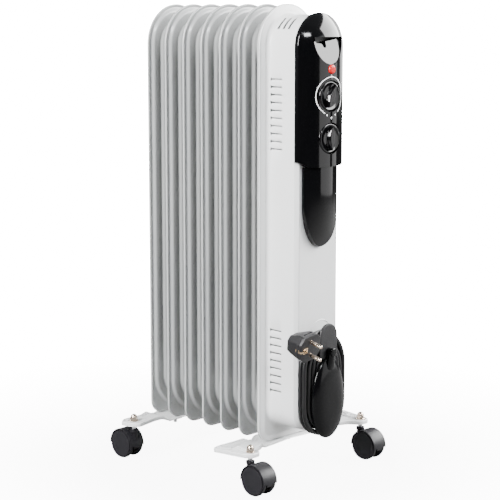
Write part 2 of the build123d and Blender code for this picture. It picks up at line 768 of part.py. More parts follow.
def make_cord_winding():
    """Outer shape of the cord wound on the core."""
    outer_r = TURN_R[-1] + CORD_D / 2
    outer = slab(stadium(outer_r, TURN_SHIFT[-1], WINDER_Z, WINDER_HALF_RUN), COIL_FRONT, COIL_BACK)
    return outer - slab(stadium(CORE_R + 0.3, 0, WINDER_Z, WINDER_HALF_RUN), COIL_FRONT, COIL_BACK)


save("cord_winding", make_cord_winding())

TAIL = [
    (36.5, -69.7, 142.6),
    (36.5, -69.7, 163.2),
    (27.7, -69.7, 181.8),
    (11.9, -69.7, 195.4),
    (-7.5, -69.9, 202.0),
    (-24.0, -70.9, 199.0),
]


def tail_radii(points):
    """Bend radius at each corner of the route: as large as its two runs allow."""
    radii = []
    for a, b, c in zip(points, points[1:], points[2:]):
        run_in, run_out = Vector(*b) - Vector(*a), Vector(*c) - Vector(*b)
        turn = math.radians(run_in.get_angle(run_out))
        radii.append(0.45 * min(run_in.length, run_out.length) / math.tan(turn / 2))
    return radii


def make_cord_tail():
    """Last quarter turn of the cord, from the winding to the plug."""
    route = FilletPolyline(*TAIL, radius=tail_radii(TAIL))
    start = Plane(origin=route @ 0, z_dir=route % 0)
    return sweep(start * Circle(CORD_D / 2), route)


save("cord_tail", make_cord_tail())

# ---- plug, drawn with its face at Y 0 and its pins along -Y ---------------------------
PLUG_PLACE = Pos(-51.5, -91.0, 188.5) * Rot(14, 0, 0) * Rot(0, -11, 0)


def plug_outline(half, corner, shift=0.0, height=None):
    """Rounded outline of the plug body in X and Z."""
    tall = half if height is None else height
    rectangle = Rectangle(2 * half, 2 * tall)
    return Pos(shift, 0) * fillet(rectangle.vertices(), corner)


def make_plug_body():
    """Moulded angled plug: wide front, tapered back, side outlet for the cord."""
    front = slab(plug_outline(PLUG_HALF, 9.0), 0, PLUG_RIM)
    back = frustum(
        plug_outline(PLUG_HALF, 9.0), PLUG_RIM, plug_outline(10.5, 5.0, -5.5, 11.5), PLUG_DEPTH
    )
    outlet = rod_x(6.2, -6, OUTLET_X, OUTLET_Y, 0)
    body = front + back + outlet
    for z in (-PIN_SPREAD, PIN_SPREAD):
        body -= disc(PIN_R, 0, z, -1, PIN_ROOT)
    body -= disc(EARTH_R + 1.0, EARTH_X, 0, -1, 14)
    for side in (-1, 1):
        x0, x1 = sorted((side * (PLUG_HALF - 1.2), side * (PLUG_HALF + 1)))
        body -= box(x0, x1, -1, CLIP_END, -3.0, 3.0)
    return body


def make_plug_relief():
    """Ribbed strain relief on the plug's outlet."""
    ends = [(OUTLET_X, 5.4), (RELIEF_END, 3.9)]
    cone = loft([(Plane.YZ.offset(x) * Pos(OUTLET_Y, 0) * Circle(r)).face() for x, r in ends])
    rib_pitch = (RELIEF_END - OUTLET_X) / 5
    for i in range(1, 5):
        x = OUTLET_X + rib_pitch * i
        radius = 5.9 - 1.3 * i / 5
        cone += rod_x(radius, x - 0.9, x + 0.9, OUTLET_Y, 0)
    return cone


def make_plug_pins():
    """Two round contact pins with rounded ends."""
    pins = []
    for z in (-PIN_SPREAD, PIN_SPREAD):
        pin = disc(PIN_R, 0, z, -PIN_LENGTH, PIN_ROOT)
        pins.append(fillet(pin.faces().sort_by(Axis.Y)[0].edges(), PIN_R - 0.4))
    return pins


def make_plug_earth():
    """Earth socket with its square collar, and the two side contacts."""
    tube = disc(EARTH_R + 1.0, EARTH_X, 0, -0.1, 14) - disc(EARTH_R, EARTH_X, 0, -1, 13)
    collar = slab(Pos(EARTH_X, 0) * (Rectangle(8, 8) - Circle(EARTH_R)), -0.6, -0.1)
    clips = []
    for side in (-1, 1):
        x0, x1 = sorted((side * (PLUG_HALF - 1.1), side * (PLUG_HALF - 0.2)))
        clips.append(box(x0, x1, 0.5, CLIP_END - 0.2, -2.4, 2.4))
    return [tube + collar] + clips


save("plug_body", PLUG_PLACE * (make_plug_body() - make_plug_relief()))
save("plug_relief", PLUG_PLACE * make_plug_relief())
save("plug_pins", *[PLUG_PLACE * pin for pin in make_plug_pins()])
save("plug_earth", *[PLUG_PLACE * piece for piece in make_plug_earth()])


# ---- feet ---------------------------------------------------------------------------
FRONT_FOOT = [
    (0, 34), (30, 32), (50, 18), (60, 12.4), (87, 11), (119, 11.6), (FOOT_TIP_X, 8),
    (122, -43), (116, -50), (102, -50), (91, -34), (78, -29), (60, -17), (37, -15), (0, -11),
]
REAR_FOOT = [
    (0, 222), (34, 221), (62, 209), (89, 197), (119, 198), (FOOT_TIP_X, 189),
    (126, 170), (118, 163), (106, 166), (84, 170.5), (0, 170),
]


def foot_outline(half_points):
    """Whole foot outline in X and Y from its right half."""
    left = [(-x, y) for x, y in reversed(half_points) if x > 0]
    face = make_face(Polyline(*half_points, *left, close=True))
    tips = [v for v in face.vertices() if abs(v.X) > 99]
    return fillet(tips, 4.0)


def foot_band(top_drop, low_mid, low_end):
    """Solid across the feet under the line of the foot's top: low middle, raised ends."""
    ramp = [(0.0, FOOT_TOP_MID), (RAMP_FOOT_X, FOOT_TOP_MID), (RAMP_TOP_X, FOOT_TOP_END)]
    top = ramp + [(FOOT_REACH, FOOT_TOP_END)]
    if top_drop is not None:
        low = [(x, z - top_drop) for x, z in reversed(top)]
    else:
        low = [(FOOT_REACH, low_end), (RAMP_TOP_X, low_end), (RAMP_FOOT_X, low_mid), (0, low_mid)]
    half = top + low
    left = [(-x, z) for x, z in reversed(half) if x > 0]
    return slab(make_face(Polyline(*half, *left, close=True)), -80, 300)


def make_foot(half_points, bolt_x, bolt_y, clamp_y):
    """Pressed foot: sheet with a turned-down edge, and holes for the stems and the clamp."""
    outline = foot_outline(half_points)
    column = extrude(Pos(0, 0, 20) * outline, 50)
    inner = extrude(Pos(0, 0, 20) * offset(outline, -FOOT_SHEET), 50)
    foot = foot_band(FOOT_SHEET, 0, 0) & column
    foot += foot_band(None, FOOT_LIP_MID, FOOT_LIP_END) & (column - inner)
    for side in (-1, 1):
        foot -= rod_z(STEM_R + 0.3, 20, 80, side * bolt_x, bolt_y)
        foot -= rod_z(CLAMP_ROD_R + 0.4, 20, 80, side * CLAMP_X, clamp_y)
    return foot


save("front_foot", make_foot(FRONT_FOOT, CASTER_FRONT_X, CASTER_FRONT_Y, FRONT_CLAMP_Y))
save("rear_foot", make_foot(REAR_FOOT, CASTER_REAR_X, CASTER_REAR_Y, REAR_CLAMP_Y))
CLAMP_LOW = 31.0


def make_clamp(y):
    """U bolt over the low hub collar, with its legs through the foot."""
    with BuildLine() as line:
        Line((-CLAMP_X, y, CLAMP_LOW), (-CLAMP_X, y, HUB_LOW))
        ThreePointArc((-CLAMP_X, y, HUB_LOW), (0, y, HUB_LOW + CLAMP_X), (CLAMP_X, y, HUB_LOW))
        Line((CLAMP_X, y, HUB_LOW), (CLAMP_X, y, CLAMP_LOW))
    route = line.wire()
    return sweep(Plane(origin=route @ 0, z_dir=route % 0) * Circle(CLAMP_ROD_R), route)


def make_wing_nut(x, y):
    """Wing nut under the foot."""
    top = FOOT_TOP_MID - FOOT_SHEET - 0.05
    nut = rod_z(5.0, top - 7, top, x, y)
    wing = box(x - 12, x + 12, y - 1.2, y + 1.2, top - 9, top - 1.5)
    return nut + wing - rod_z(CLAMP_ROD_R + 0.02, top - 20, top + 1, x, y)


save("foot_clamps", make_clamp(FRONT_CLAMP_Y), make_clamp(REAR_CLAMP_Y))
NUT_PLACES = [(x, y) for x in (-CLAMP_X, CLAMP_X) for y in (FRONT_CLAMP_Y, REAR_CLAMP_Y)]
save("foot_wing_nuts", *[make_wing_nut(x, y) for x, y in NUT_PLACES])


# ---- casters ------------------------------------------------------------------------
def make_stem(place):
    """Fixed threaded stem with a shoulder under the foot."""
    shoulder_top = FOOT_TOP_END - FOOT_SHEET - 0.05
    shoulder = rod_z(SHOULDER_R, shoulder_top - 2.2, shoulder_top)
    return place * (rod_z(STEM_R, STEM_LOW, NUT_TOP - 3) + shoulder)


def make_dome_nut(place):
    """Flanged dome nut on the stem, above the foot."""
    low = FOOT_TOP_END + 0.05
    flange = rod_z(6.2, low, low + 1.6)
    hexagon = extrude(Pos(0, 0, low + 1.6) * RegularPolygon(5.2, 6), 3.4)
    cone = Pos(0, 0, low + 5.0) * Sphere(4.7)
    dome = cone & rod_z(6, low + 4.9, NUT_TOP)
    return place * (flange + hexagon + dome - rod_z(STEM_R, low - 1, NUT_TOP - 3))


def make_hood():
    """Twin caster body: web between the wheels, guard over them and stem socket."""
    width = 2 * WHEEL_W + WHEEL_GAP
    guard = rod_x(HOOD_R, -width / 2, width / 2, -TRAIL, WHEEL_R)
    guard -= rod_x(WHEEL_R + 0.5, -width, width, -TRAIL, WHEEL_R)
    guard &= box(-50, 50, -80, 50, WHEEL_R - 2, 60)
    web_half = WHEEL_GAP / 2 - 0.3
    web = rod_x(WHEEL_R + 0.9, -web_half, web_half, -TRAIL, WHEEL_R) & box(-50, 50, -80, 50, 15, 60)
    socket = rod_z(SOCKET_R, 30, HOOD_TOP) + rod_z(COLLAR_R, COLLAR_LOW, HOOD_TOP)
    hood = guard + web + socket
    hood -= rod_z(STEM_R + RUNNING_GAP, STEM_LOW - 0.5, HOOD_TOP + 1)
    return hood - rod_x(AXLE_R, -30, 30, -TRAIL, WHEEL_R)


def make_axle():
    """Axle pin of one caster."""
    reach = WHEEL_GAP / 2 + WHEEL_W - 1.6
    return rod_x(AXLE_R, -reach, reach, -TRAIL, WHEEL_R)


def make_wheel(side):
    """Solid wheel with a rounded tread, a dished outer face and a blind bore."""
    inner, outer = side * WHEEL_GAP / 2, side * (WHEEL_GAP / 2 + WHEEL_W)
    wheel = rod_x(WHEEL_R, min(inner, outer), max(inner, outer), -TRAIL, WHEEL_R)
    rims = [e for e in wheel.edges() if e.geom_type == GeomType.CIRCLE]
    wheel = fillet(rims, 1.5)
    dish = outer - side * 0.8
    wheel -= rod_x(15.5, min(dish, outer), max(dish, outer), -TRAIL, WHEEL_R)
    ends = sorted((inner, outer - side * 1.4))
    return wheel - rod_x(AXLE_R + RUNNING_GAP, *ends, -TRAIL, WHEEL_R)


CASTERS = {
    "front_left": Pos(-CASTER_FRONT_X, CASTER_FRONT_Y, 0) * Rot(0, 0, -1),
    "front_right": Pos(CASTER_FRONT_X, CASTER_FRONT_Y, 0) * Rot(0, 0, -1),
    "rear_left": Pos(-CASTER_REAR_X, CASTER_REAR_Y, 0) * Rot(0, 0, 180),
    "rear_right": Pos(CASTER_REAR_X, CASTER_REAR_Y, 0) * Rot(0, 0, 180),
}
save("caster_stems", *[make_stem(place) for place in CASTERS.values()])
save("caster_dome_nuts", *[make_dome_nut(place) for place in CASTERS.values()])
for corner, place in CASTERS.items():
    save(f"caster_{corner}_hood", place * make_hood())
    save(f"caster_{corner}_axle", place * make_axle())
    save(f"caster_{corner}_wheel_a", place * make_wheel(-1))
    save(f"caster_{corner}_wheel_b", place * make_wheel(1))
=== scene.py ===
import bpy
import bmesh
import json
from math import atan2, copysign, cos, degrees, hypot, pi, radians, sin, sqrt
from mathutils import Matrix, Vector


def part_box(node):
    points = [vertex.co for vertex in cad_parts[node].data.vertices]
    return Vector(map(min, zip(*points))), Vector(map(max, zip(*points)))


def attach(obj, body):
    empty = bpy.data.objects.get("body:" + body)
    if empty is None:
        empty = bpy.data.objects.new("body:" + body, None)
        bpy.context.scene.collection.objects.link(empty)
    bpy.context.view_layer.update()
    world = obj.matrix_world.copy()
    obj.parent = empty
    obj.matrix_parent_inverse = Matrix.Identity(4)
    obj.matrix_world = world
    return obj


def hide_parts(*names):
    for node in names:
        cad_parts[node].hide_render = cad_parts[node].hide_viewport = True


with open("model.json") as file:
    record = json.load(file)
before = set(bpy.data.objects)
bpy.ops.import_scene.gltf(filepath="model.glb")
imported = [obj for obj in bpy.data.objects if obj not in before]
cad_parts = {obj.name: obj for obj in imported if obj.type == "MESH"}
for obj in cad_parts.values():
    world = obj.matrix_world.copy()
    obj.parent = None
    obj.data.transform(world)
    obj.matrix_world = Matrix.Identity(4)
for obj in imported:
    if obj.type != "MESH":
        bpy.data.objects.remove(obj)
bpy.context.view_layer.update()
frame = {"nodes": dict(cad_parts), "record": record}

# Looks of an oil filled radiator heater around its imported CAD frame.  Shapes are drawn in
# millimetres, with the middle of the front section at Y 0 and the floor at Z 0, and place()
# turns them into the row frame in metres.

MM = 0.001


def cad(node):
    """Lowest and highest corner of a CAD node, in drawing millimetres."""
    low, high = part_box(node)
    return [Vector((c.x / MM, c.y / MM - SHIFT_Y, c.z / MM)) for c in (low, high)]


def middle_y(node):
    """Middle of a CAD node along Y, in row millimetres."""
    low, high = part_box(node)
    return (low.y + high.y) / 2 / MM


SHIFT_Y = middle_y("fin_7")
SECTIONS = 7
PITCH = (middle_y("fin_1") - SHIFT_Y) / (SECTIONS - 1)
FIN_LOW, FIN_HIGH = cad("fin_7")
FIN_HALF = FIN_HIGH.x
FIN_BOTTOM = FIN_LOW.z
ARC_Z = FIN_HIGH.z - FIN_HALF
HUB_LOW = 97.0


def place(x, y, z):
    """A drawing point in the row frame, in metres."""
    return Vector((x * MM, (y + SHIFT_Y) * MM, z * MM))


def linked(name, data):
    """New object in the scene."""
    item = bpy.data.objects.new(name, data)
    bpy.context.scene.collection.objects.link(item)
    return item


# ---- camera, floor and light --------------------------------------------------------
CAMERA_AT = (-1439.8, -1325.4, 615.7)
CAMERA_YAW, CAMERA_PITCH = 45.96, -9.16
CAMERA_LENS = 106.85
WHITE_BACKDROP = 30.0
ROOM_LIGHT, ROOM_DARK = 0.30, 0.02
PHOTOGRAPHER_SIDE = (-0.70, -0.70, -0.14)
FLOOR_SIZE = 14
FLOOR_NEAR, FLOOR_FAR = (0.15, 0.15, 0.147), (0.02, 0.02, 0.02)
FLOOR_GLOW_NEAR, FLOOR_GLOW_FAR = 9.0, 30.0


def make_camera():
    """Camera at the photograph's viewing angle."""
    yaw, pitch = radians(CAMERA_YAW), radians(CAMERA_PITCH)
    data = bpy.data.cameras.new("camera")
    data.lens = CAMERA_LENS
    data.sensor_width = 36.0
    camera = linked("camera", data)
    camera.location = place(*CAMERA_AT)
    ahead = Vector((sin(yaw) * cos(pitch), cos(yaw) * cos(pitch), sin(pitch)))
    camera.rotation_euler = ahead.to_track_quat("-Z", "Y").to_euler()
    bpy.context.scene.camera = camera


def make_light(name, spot, target, size, power, colour=(1, 1, 1)):
    """Soft rectangular studio light aimed at a point."""
    data = bpy.data.lights.new(name, "AREA")
    data.shape = "RECTANGLE"
    data.size, data.size_y = size
    data.energy = power
    data.color = colour
    light = linked(name, data)
    light.location = spot
    light.rotation_euler = (Vector(target) - Vector(spot)).to_track_quat("-Z", "Y").to_euler()


def set_sockets(node, **values):
    """Sets a node's inputs by name, with _ for a space."""
    for socket, value in values.items():
        node.inputs[socket.replace("_", " ")].default_value = value


def new_node(tree, kind, operation=None, **values):
    """New shader node with the values of its inputs."""
    node = tree.nodes.new(f"ShaderNode{kind}")
    if operation:
        node.operation = operation
    set_sockets(node, **values)
    return node


def mapped(tree, value, from_low, from_high, to_low, to_high):
    """Value moved from one range to another."""
    spread = new_node(
        tree, "MapRange", From_Min=from_low, From_Max=from_high, To_Min=to_low, To_Max=to_high,
    )
    tree.links.new(value, spread.inputs["Value"])
    return spread.outputs["Result"]


def colour_mix(tree, share, first, second):
    """Colour between two, by a share."""
    mix = new_node(tree, "Mix")
    mix.data_type = "RGBA"
    set_sockets(mix, A=(*first, 1), B=(*second, 1))
    tree.links.new(share, mix.inputs["Factor"])
    return mix.outputs["Result"]


def make_world():
    """White backdrop; what lights the object is pale behind it and dim on the photographer's side."""
    world = bpy.data.worlds.new("studio")
    world.use_nodes = True
    tree = world.node_tree
    link = tree.links.new
    backdrop = tree.nodes["Background"]
    set_sockets(backdrop, Color=(1, 1, 1, 1), Strength=WHITE_BACKDROP)
    facing = new_node(tree, "VectorMath", "DOT_PRODUCT")
    facing.inputs[1].default_value = PHOTOGRAPHER_SIDE
    link(new_node(tree, "TexCoord").outputs["Generated"], facing.inputs[0])
    room = new_node(tree, "Background", Color=(0.96, 0.98, 1.0, 1))
    fade = mapped(tree, facing.outputs["Value"], 0.25, 0.75, ROOM_LIGHT, ROOM_DARK)
    link(fade, room.inputs["Strength"])
    blend = new_node(tree, "MixShader")
    link(new_node(tree, "LightPath").outputs["Is Camera Ray"], blend.inputs["Fac"])
    link(room.outputs["Background"], blend.inputs[1])
    link(backdrop.outputs["Background"], blend.inputs[2])
    link(blend.outputs["Shader"], tree.nodes["World Output"].inputs["Surface"])
    bpy.context.scene.world = world


def floor_finish():
    """Pale floor that brightens into the white backdrop away from the object."""
    material = bpy.data.materials.new("floor_white")
    material.use_nodes = True
    tree = material.node_tree
    link = tree.links.new
    shader = tree.nodes["Principled BSDF"]
    set_sockets(shader, Roughness=0.7, Emission_Color=(1, 1, 1, 1))
    reach = new_node(tree, "VectorMath", "LENGTH")
    link(new_node(tree, "TexCoord").outputs["Object"], reach.inputs[0])
    distance = reach.outputs["Value"]
    seen = new_node(tree, "Math", "MULTIPLY")
    link(mapped(tree, distance, 0.2, 1.6, FLOOR_GLOW_NEAR, FLOOR_GLOW_FAR), seen.inputs[0])
    link(new_node(tree, "LightPath").outputs["Is Camera Ray"], seen.inputs[1])
    link(seen.outputs["Value"], shader.inputs["Emission Strength"])
    dim = mapped(tree, distance, 0.9, 2.2, 1.0, 0.1)
    link(colour_mix(tree, dim, FLOOR_FAR, FLOOR_NEAR), shader.inputs["Base Color"])
    return material


def make_stage():
    """Pale floor, white surroundings and soft studio lights."""
    bpy.ops.mesh.primitive_plane_add(size=FLOOR_SIZE)
    floor = bpy.context.object
    floor.name = "floor"
    floor.data.materials.append(floor_finish())
    make_world()
    make_light("right_card", (1.55, -1.95, 0.75), (0.0, -0.12, 0.40), (2.9, 1.7), 44)
    make_light("right_side", (2.4, 0.35, 1.1), (0.0, -0.05, 0.40), (1.2, 1.5), 20)
    make_light("right_soft", (2.12, -1.23, 1.73), (0.0, -0.1, 0.45), (3.1, 1.7), 400)
    make_light("high_front", (-0.85, -2.30, 1.90), (0.0, -0.1, 0.50), (0.7, 0.35), 55, (0.95, 0.97, 1.0))
    make_light("left_key", (-1.8, 0.0, 1.2), (0.0, 0.0, 0.48), (0.4, 1.0), 160)
    make_light("back_soft", (0.3, 2.7, 1.5), (0.0, 0.15, 0.35), (1.5, 1.5), 60)


# ---- materials ----------------------------------------------------------------------
BUMP_DEPTH = 0.0004


def surface(name, dark, light, rough, grain, bump, metallic=0.0, coat=0.0, blotch=6.0, **sockets):
    """Procedural finish: colour drifts between two tones, roughness and bump follow a fine grain."""
    material = bpy.data.materials.new(name)
    material.use_nodes = True
    tree = material.node_tree
    shader = tree.nodes["Principled BSDF"]
    link = tree.links.new
    where = new_node(tree, "TexCoord").outputs["Object"]
    broad = new_node(tree, "TexNoise", Scale=blotch, Detail=3.0)
    fine = new_node(tree, "TexNoise", Scale=grain, Detail=2.0)
    for noise in (broad, fine):
        link(where, noise.inputs["Vector"])
    link(colour_mix(tree, broad.outputs["Fac"], dark, light), shader.inputs["Base Color"])
    link(mapped(tree, fine.outputs["Fac"], 0.0, 1.0, *rough), shader.inputs["Roughness"])
    relief = new_node(tree, "Bump", Strength=bump, Distance=BUMP_DEPTH)
    link(fine.outputs["Fac"], relief.inputs["Height"])
    link(relief.outputs["Normal"], shader.inputs["Normal"])
    set_sockets(shader, Metallic=metallic, Coat_Weight=coat, **sockets)
    return material


FINISH = {
    "enamel": surface(
        "white_enamel", (0.60, 0.605, 0.61), (0.645, 0.65, 0.645), (0.24, 0.34), 420, 0.04, coat=0.2,
    ),
    "black_gloss": surface(
        "gloss_black_plastic", (0.0010, 0.0010, 0.0012), (0.0018, 0.0018, 0.0021),
        (0.07, 0.12), 900, 0.01, Specular_IOR_Level=0.32,
    ),
    "black_matt": surface(
        "satin_black_plastic", (0.0050, 0.0047, 0.0056), (0.0080, 0.0076, 0.0088),
        (0.36, 0.50), 2600, 0.30, Specular_IOR_Level=0.35,
    ),
    "cord_black": surface(
        "cord_sheath", (0.0025, 0.0025, 0.003), (0.0045, 0.0045, 0.005), (0.32, 0.44), 700, 0.10,
        Specular_IOR_Level=0.35,
    ),
    "lamp_red": surface(
        "red_lens", (0.42, 0.004, 0.005), (0.52, 0.008, 0.008), (0.16, 0.24), 600, 0.05,
        Specular_IOR_Level=0.22,
    ),
    "zinc": surface(
        "zinc_plate", (0.55, 0.56, 0.57), (0.68, 0.69, 0.70), (0.28, 0.42), 500, 0.08, metallic=1.0,
    ),
    "element_steel": surface(
        "element_steel", (0.42, 0.39, 0.35), (0.55, 0.52, 0.47), (0.35, 0.5), 300, 0.1, metallic=1.0,
    ),
    "white_plastic": surface(
        "technical_plastic", (0.66, 0.65, 0.61), (0.74, 0.73, 0.69), (0.45, 0.55), 900, 0.1,
    ),
    "nickel": surface(
        "nickel_plate", (0.50, 0.41, 0.33), (0.66, 0.56, 0.47), (0.12, 0.22), 500, 0.05, metallic=1.0,
    ),
    "brass": surface(
        "bare_brass", (0.66, 0.48, 0.30), (0.80, 0.62, 0.42), (0.18, 0.30), 500, 0.06, metallic=1.0,
    ),
    "caster_black": surface(
        "caster_nylon", (0.0060, 0.0056, 0.0072), (0.0090, 0.0086, 0.0104), (0.34, 0.46), 1500, 0.10,
        Specular_IOR_Level=0.22,
    ),
    "axle_steel": surface(
        "axle_steel", (0.50, 0.50, 0.50), (0.62, 0.62, 0.62), (0.2, 0.3), 500, 0.05, metallic=1.0,
    ),
}
# Darker copy of the white enamel for the sections, hub collars and rear caps: painted shade, so the fins
# come out as grey as the shade between them.
SHADED_SECTION_ENAMEL = surface(
    "section_enamel_painted_shade", (0.310, 0.320, 0.325), (0.345, 0.350, 0.345), (0.24, 0.34), 420, 0.04, coat=0.2,
)
WINDER_BLACK = surface(
    "winder_black", (0.0010, 0.0010, 0.0012), (0.0018, 0.0018, 0.0021), (0.12, 0.18), 900, 0.01,
    Specular_IOR_Level=0.17,
)
PRINT_WHITE = surface("print_white", (0.72, 0.72, 0.73), (0.80, 0.80, 0.81), (0.4, 0.5), 1200, 0.05)
SLOT_OF = {part["node"]: part["material_slot"] for part in frame["record"]["subparts"]}


def dress_cad():
    """Gives every CAD node the finish of its slot."""
    for node, piece in frame["nodes"].items():
        piece.data.materials.clear()
        piece.data.materials.append(FINISH[SLOT_OF[node]])


# ---- mesh helpers -------------------------------------------------------------------
def new_piece(name, mesh, slot, *nodes, body="heater"):
    """Puts a mesh into the scene on its body, in the finish of a slot, for the CAD nodes it replaces."""
    piece = linked(name, mesh)
    if not mesh.materials:
        mesh.materials.append(FINISH[slot])
    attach(piece, body)
    if nodes:
        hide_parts(*nodes)
    return piece


def shade(mesh, smooth_angle=35.0):
    """Welds a mesh, turns its normals outwards and shades it smooth below an angle."""
    work = bmesh.new()
    work.from_mesh(mesh)
    bmesh.ops.remove_doubles(work, verts=work.verts, dist=0.00002)
    bmesh.ops.dissolve_degenerate(work, dist=0.00001, edges=work.edges)
    bmesh.ops.recalc_face_normals(work, faces=work.faces)
    for face in work.faces:
        face.smooth = True
    for edge in work.edges:
        edge.smooth = len(edge.link_faces) != 2 or edge.calc_face_angle(0.0) < radians(smooth_angle)
    work.to_mesh(mesh)
    work.free()
    return mesh


def mesh_from(name, points, faces, smooth_angle=35.0, put=place):
    """Mesh from drawing points and faces; put moves a point into the row frame."""
    mesh = bpy.data.meshes.new(name)
    mesh.from_pydata([tuple(put(*p)) for p in points], [], faces)
    return shade(mesh, smooth_angle)


def strips(rings, closed=True, cap_first=False, cap_last=False):
    """Points and quads that join rings of equally many points."""
    count = len(rings[0])
    points = [p for ring in rings for p in ring]
    faces = []
    for i in range(len(rings) - 1):
        for k in range(count if closed else count - 1):
            a, b = i * count + k, i * count + (k + 1) % count
            faces.append((a, b, b + count, a + count))
    if cap_first:
        faces.append(tuple(range(count)))
    if cap_last:
        last = (len(rings) - 1) * count
        faces.append(tuple(range(last + count - 1, last - 1, -1)))
    return points, faces


def solid(rings):
    """Points and faces of a closed solid through a row of rings."""
    return strips(rings, cap_first=True, cap_last=True)


def joined(*shapes):
    """One list of points and faces from several."""
    points, faces = [], []
    for more_points, more_faces in shapes:
        start = len(points)
        points += more_points
        faces += [tuple(i + start for i in face) for face in more_faces]
    return points, faces


def circle(count):
    """Evenly spaced angles round a circle."""
    return [2 * pi * k / count for k in range(count)]


def turned(profile, count, axis_point, axis="y"):
    """Body of revolution: profile pairs are (radius, height along the axis)."""
    px, py, pz = axis_point
    rings = []
    for radius, height in profile:
        ring = []
        for a in circle(count):
            c, s = radius * cos(a), radius * sin(a)
            if axis == "y":
                ring.append((px + c, py + height, pz + s))
            elif axis == "x":
                ring.append((px + height, py + c, pz + s))
            else:
                ring.append((px + c, py + s, pz + height))
        rings.append(ring)
    return solid(rings)


def modified(mesh, kind, **settings):
    """Mesh after one modifier with its settings."""
    piece = linked("work", mesh)
    modifier = piece.modifiers.new(kind.lower(), kind)
    for key, value in settings.items():
        setattr(modifier, key, value)
    depsgraph = bpy.context.evaluated_depsgraph_get()
    result = bpy.data.meshes.new_from_object(piece.evaluated_get(depsgraph))
    bpy.data.objects.remove(piece)
    return result


def thickened(mesh, thickness):
    """Mesh given a thickness inwards, in millimetres."""
    return modified(mesh, "SOLIDIFY", thickness=thickness * MM, offset=-1.0)


def carved(mesh, *cutters):
    """Mesh with closed cutter meshes taken out of it."""
    for cutter in cutters:
        tool = linked("cutter", cutter)
        mesh = modified(mesh, "BOOLEAN", object=tool, operation="DIFFERENCE", solver="EXACT")
        bpy.data.objects.remove(tool)
    return mesh


def at_y(outline, y):
    """Outline of (x, z) pairs set at a Y."""
    return [(x, y, z) for x, z in outline]


def slab(outline, y0, y1):
    """Closed prism along Y from an outline of (x, z) pairs."""
    return solid([at_y(outline, y) for y in (y0, y1)])


def rounded_slab(outlines, ys):
    """Closed solid through a row of outlines at a row of Y values."""
    return solid([at_y(outline, y) for outline, y in zip(outlines, ys)])


def arc(cx, cz, radius, start, end, steps):
    """Points on an arc in X and Z, angles in degrees."""
    angles = [radians(start + (end - start) * k / steps) for k in range(steps + 1)]
    return [(cx + radius * cos(a), cz + radius * sin(a)) for a in angles]


def smoothstep(low, high, value):
    """0 below low, 1 above high, smooth between; low may be the larger."""
    t = max(0.0, min(1.0, (value - low) / (high - low)))
    return t * t * (3 - 2 * t)


# ---- radiator sections --------------------------------------------------------------
BOTTOM_ARC_Z = FIN_BOTTOM + FIN_HALF
CORNER_R = 20.0
# (distance in from the rim, half thickness) of the rolled rim, then of the web and the steps
BEAD = [
    (0.0, 0.0), (0.12, 0.75), (0.5, 1.25), (1.2, 1.58), (2.0, 1.58), (2.8, 1.25), (3.3, 0.95), (4.0, 0.8),
]
STEP = [
    (4.5, 0.8), (5.4, 1.05), (6.6, 1.9), (8.0, 3.0), (9.2, 3.7), (10.4, 3.95), (12.0, 4.0),
    (15.5, 4.0), (19.0, 3.95), (20.0, 3.8), (20.7, 3.9), (21.6, 4.5), (22.8, 5.6), (24.0, 6.5),
    (25.2, 6.9), (27.0, 7.0),
]
INNER = [29.0, 31.5, 34.0, 35.2, 36.3, 37.4, 38.5, 39.6, 41.5, 45.0, 50.0, 55.0]
FACE_HALF = 7.0
# flat sides, in a fine run at each end and a coarse one between
END_RUN, MIDDLE_RUN = 92, 287
END_STEPS, MIDDLE_STEPS, ROUND_STEPS = 24, 8, 44
SUNK_LOW, SUNK_HIGH = 185.0, 515.0
SUNK_EDGE = (15.6, 20.4)
BOSS_EDGE = (25.5, 33.5)


def stations():
    """Parameters round a section: sides as (side, height), arcs as angles."""
    end = [END_RUN * k / END_STEPS for k in range(END_STEPS)]
    heights = end + [END_RUN + k * MIDDLE_RUN / MIDDLE_STEPS for k in range(MIDDLE_STEPS)]
    heights += [END_RUN + MIDDLE_RUN + h for h in end]
    half_round = [pi * k / ROUND_STEPS for k in range(ROUND_STEPS)]
    right = [("side", 1, BOTTOM_ARC_Z + h) for h in heights]
    top = [("top", 0, a) for a in half_round]
    left = [("side", -1, ARC_Z - h) for h in heights]
    low = [("low", 0, pi + a) for a in half_round]
    return right + top + left + low


def channel_point(station, inset):
    """Point of the channel's oval outline, moved in by an inset."""
    kind, side, value = station
    radius = FIN_HALF - inset
    if kind == "side":
        return side * radius, value
    centre = ARC_Z if kind == "top" else BOTTOM_ARC_Z
    return radius * cos(value), centre + radius * sin(value)


def rim_point(station, inset):
    """Point of the rim outline: as the channel, with small round corners at the bottom."""
    kind, side, value = station
    if kind != "low":
        return channel_point(station, inset)
    dx, dz = cos(value), sin(value)
    half, corner = FIN_HALF - inset, CORNER_R - inset
    core = FIN_HALF - CORNER_R
    if half * abs(dz) <= core * abs(dx):
        return copysign(half, dx), BOTTOM_ARC_Z + half * dz / abs(dx)
    if half * abs(dx) <= core * abs(dz):
        return half * dx / abs(dz), BOTTOM_ARC_Z - half
    reach = core * (abs(dx) + abs(dz))
    along = reach + sqrt(reach * reach - 2 * core * core + corner * corner)
    return along * dx, BOTTOM_ARC_Z + along * dz


def face_height(x, z, base):
    """Half thickness of a section at a point: steps, hub bosses and the sunk centre panel."""
    sunk = hypot(x, z - min(max(z, SUNK_LOW), SUNK_HIGH))
    half = min(base, 1.1 + 5.9 * smoothstep(*SUNK_EDGE, sunk))
    for hub in (HUB_LOW, ARC_Z):
        rise = 1 - smoothstep(*BOSS_EDGE, hypot(x, z - hub))
        if rise > 0:
            half = max(half, 3.9 + 6.1 * rise)
    return half


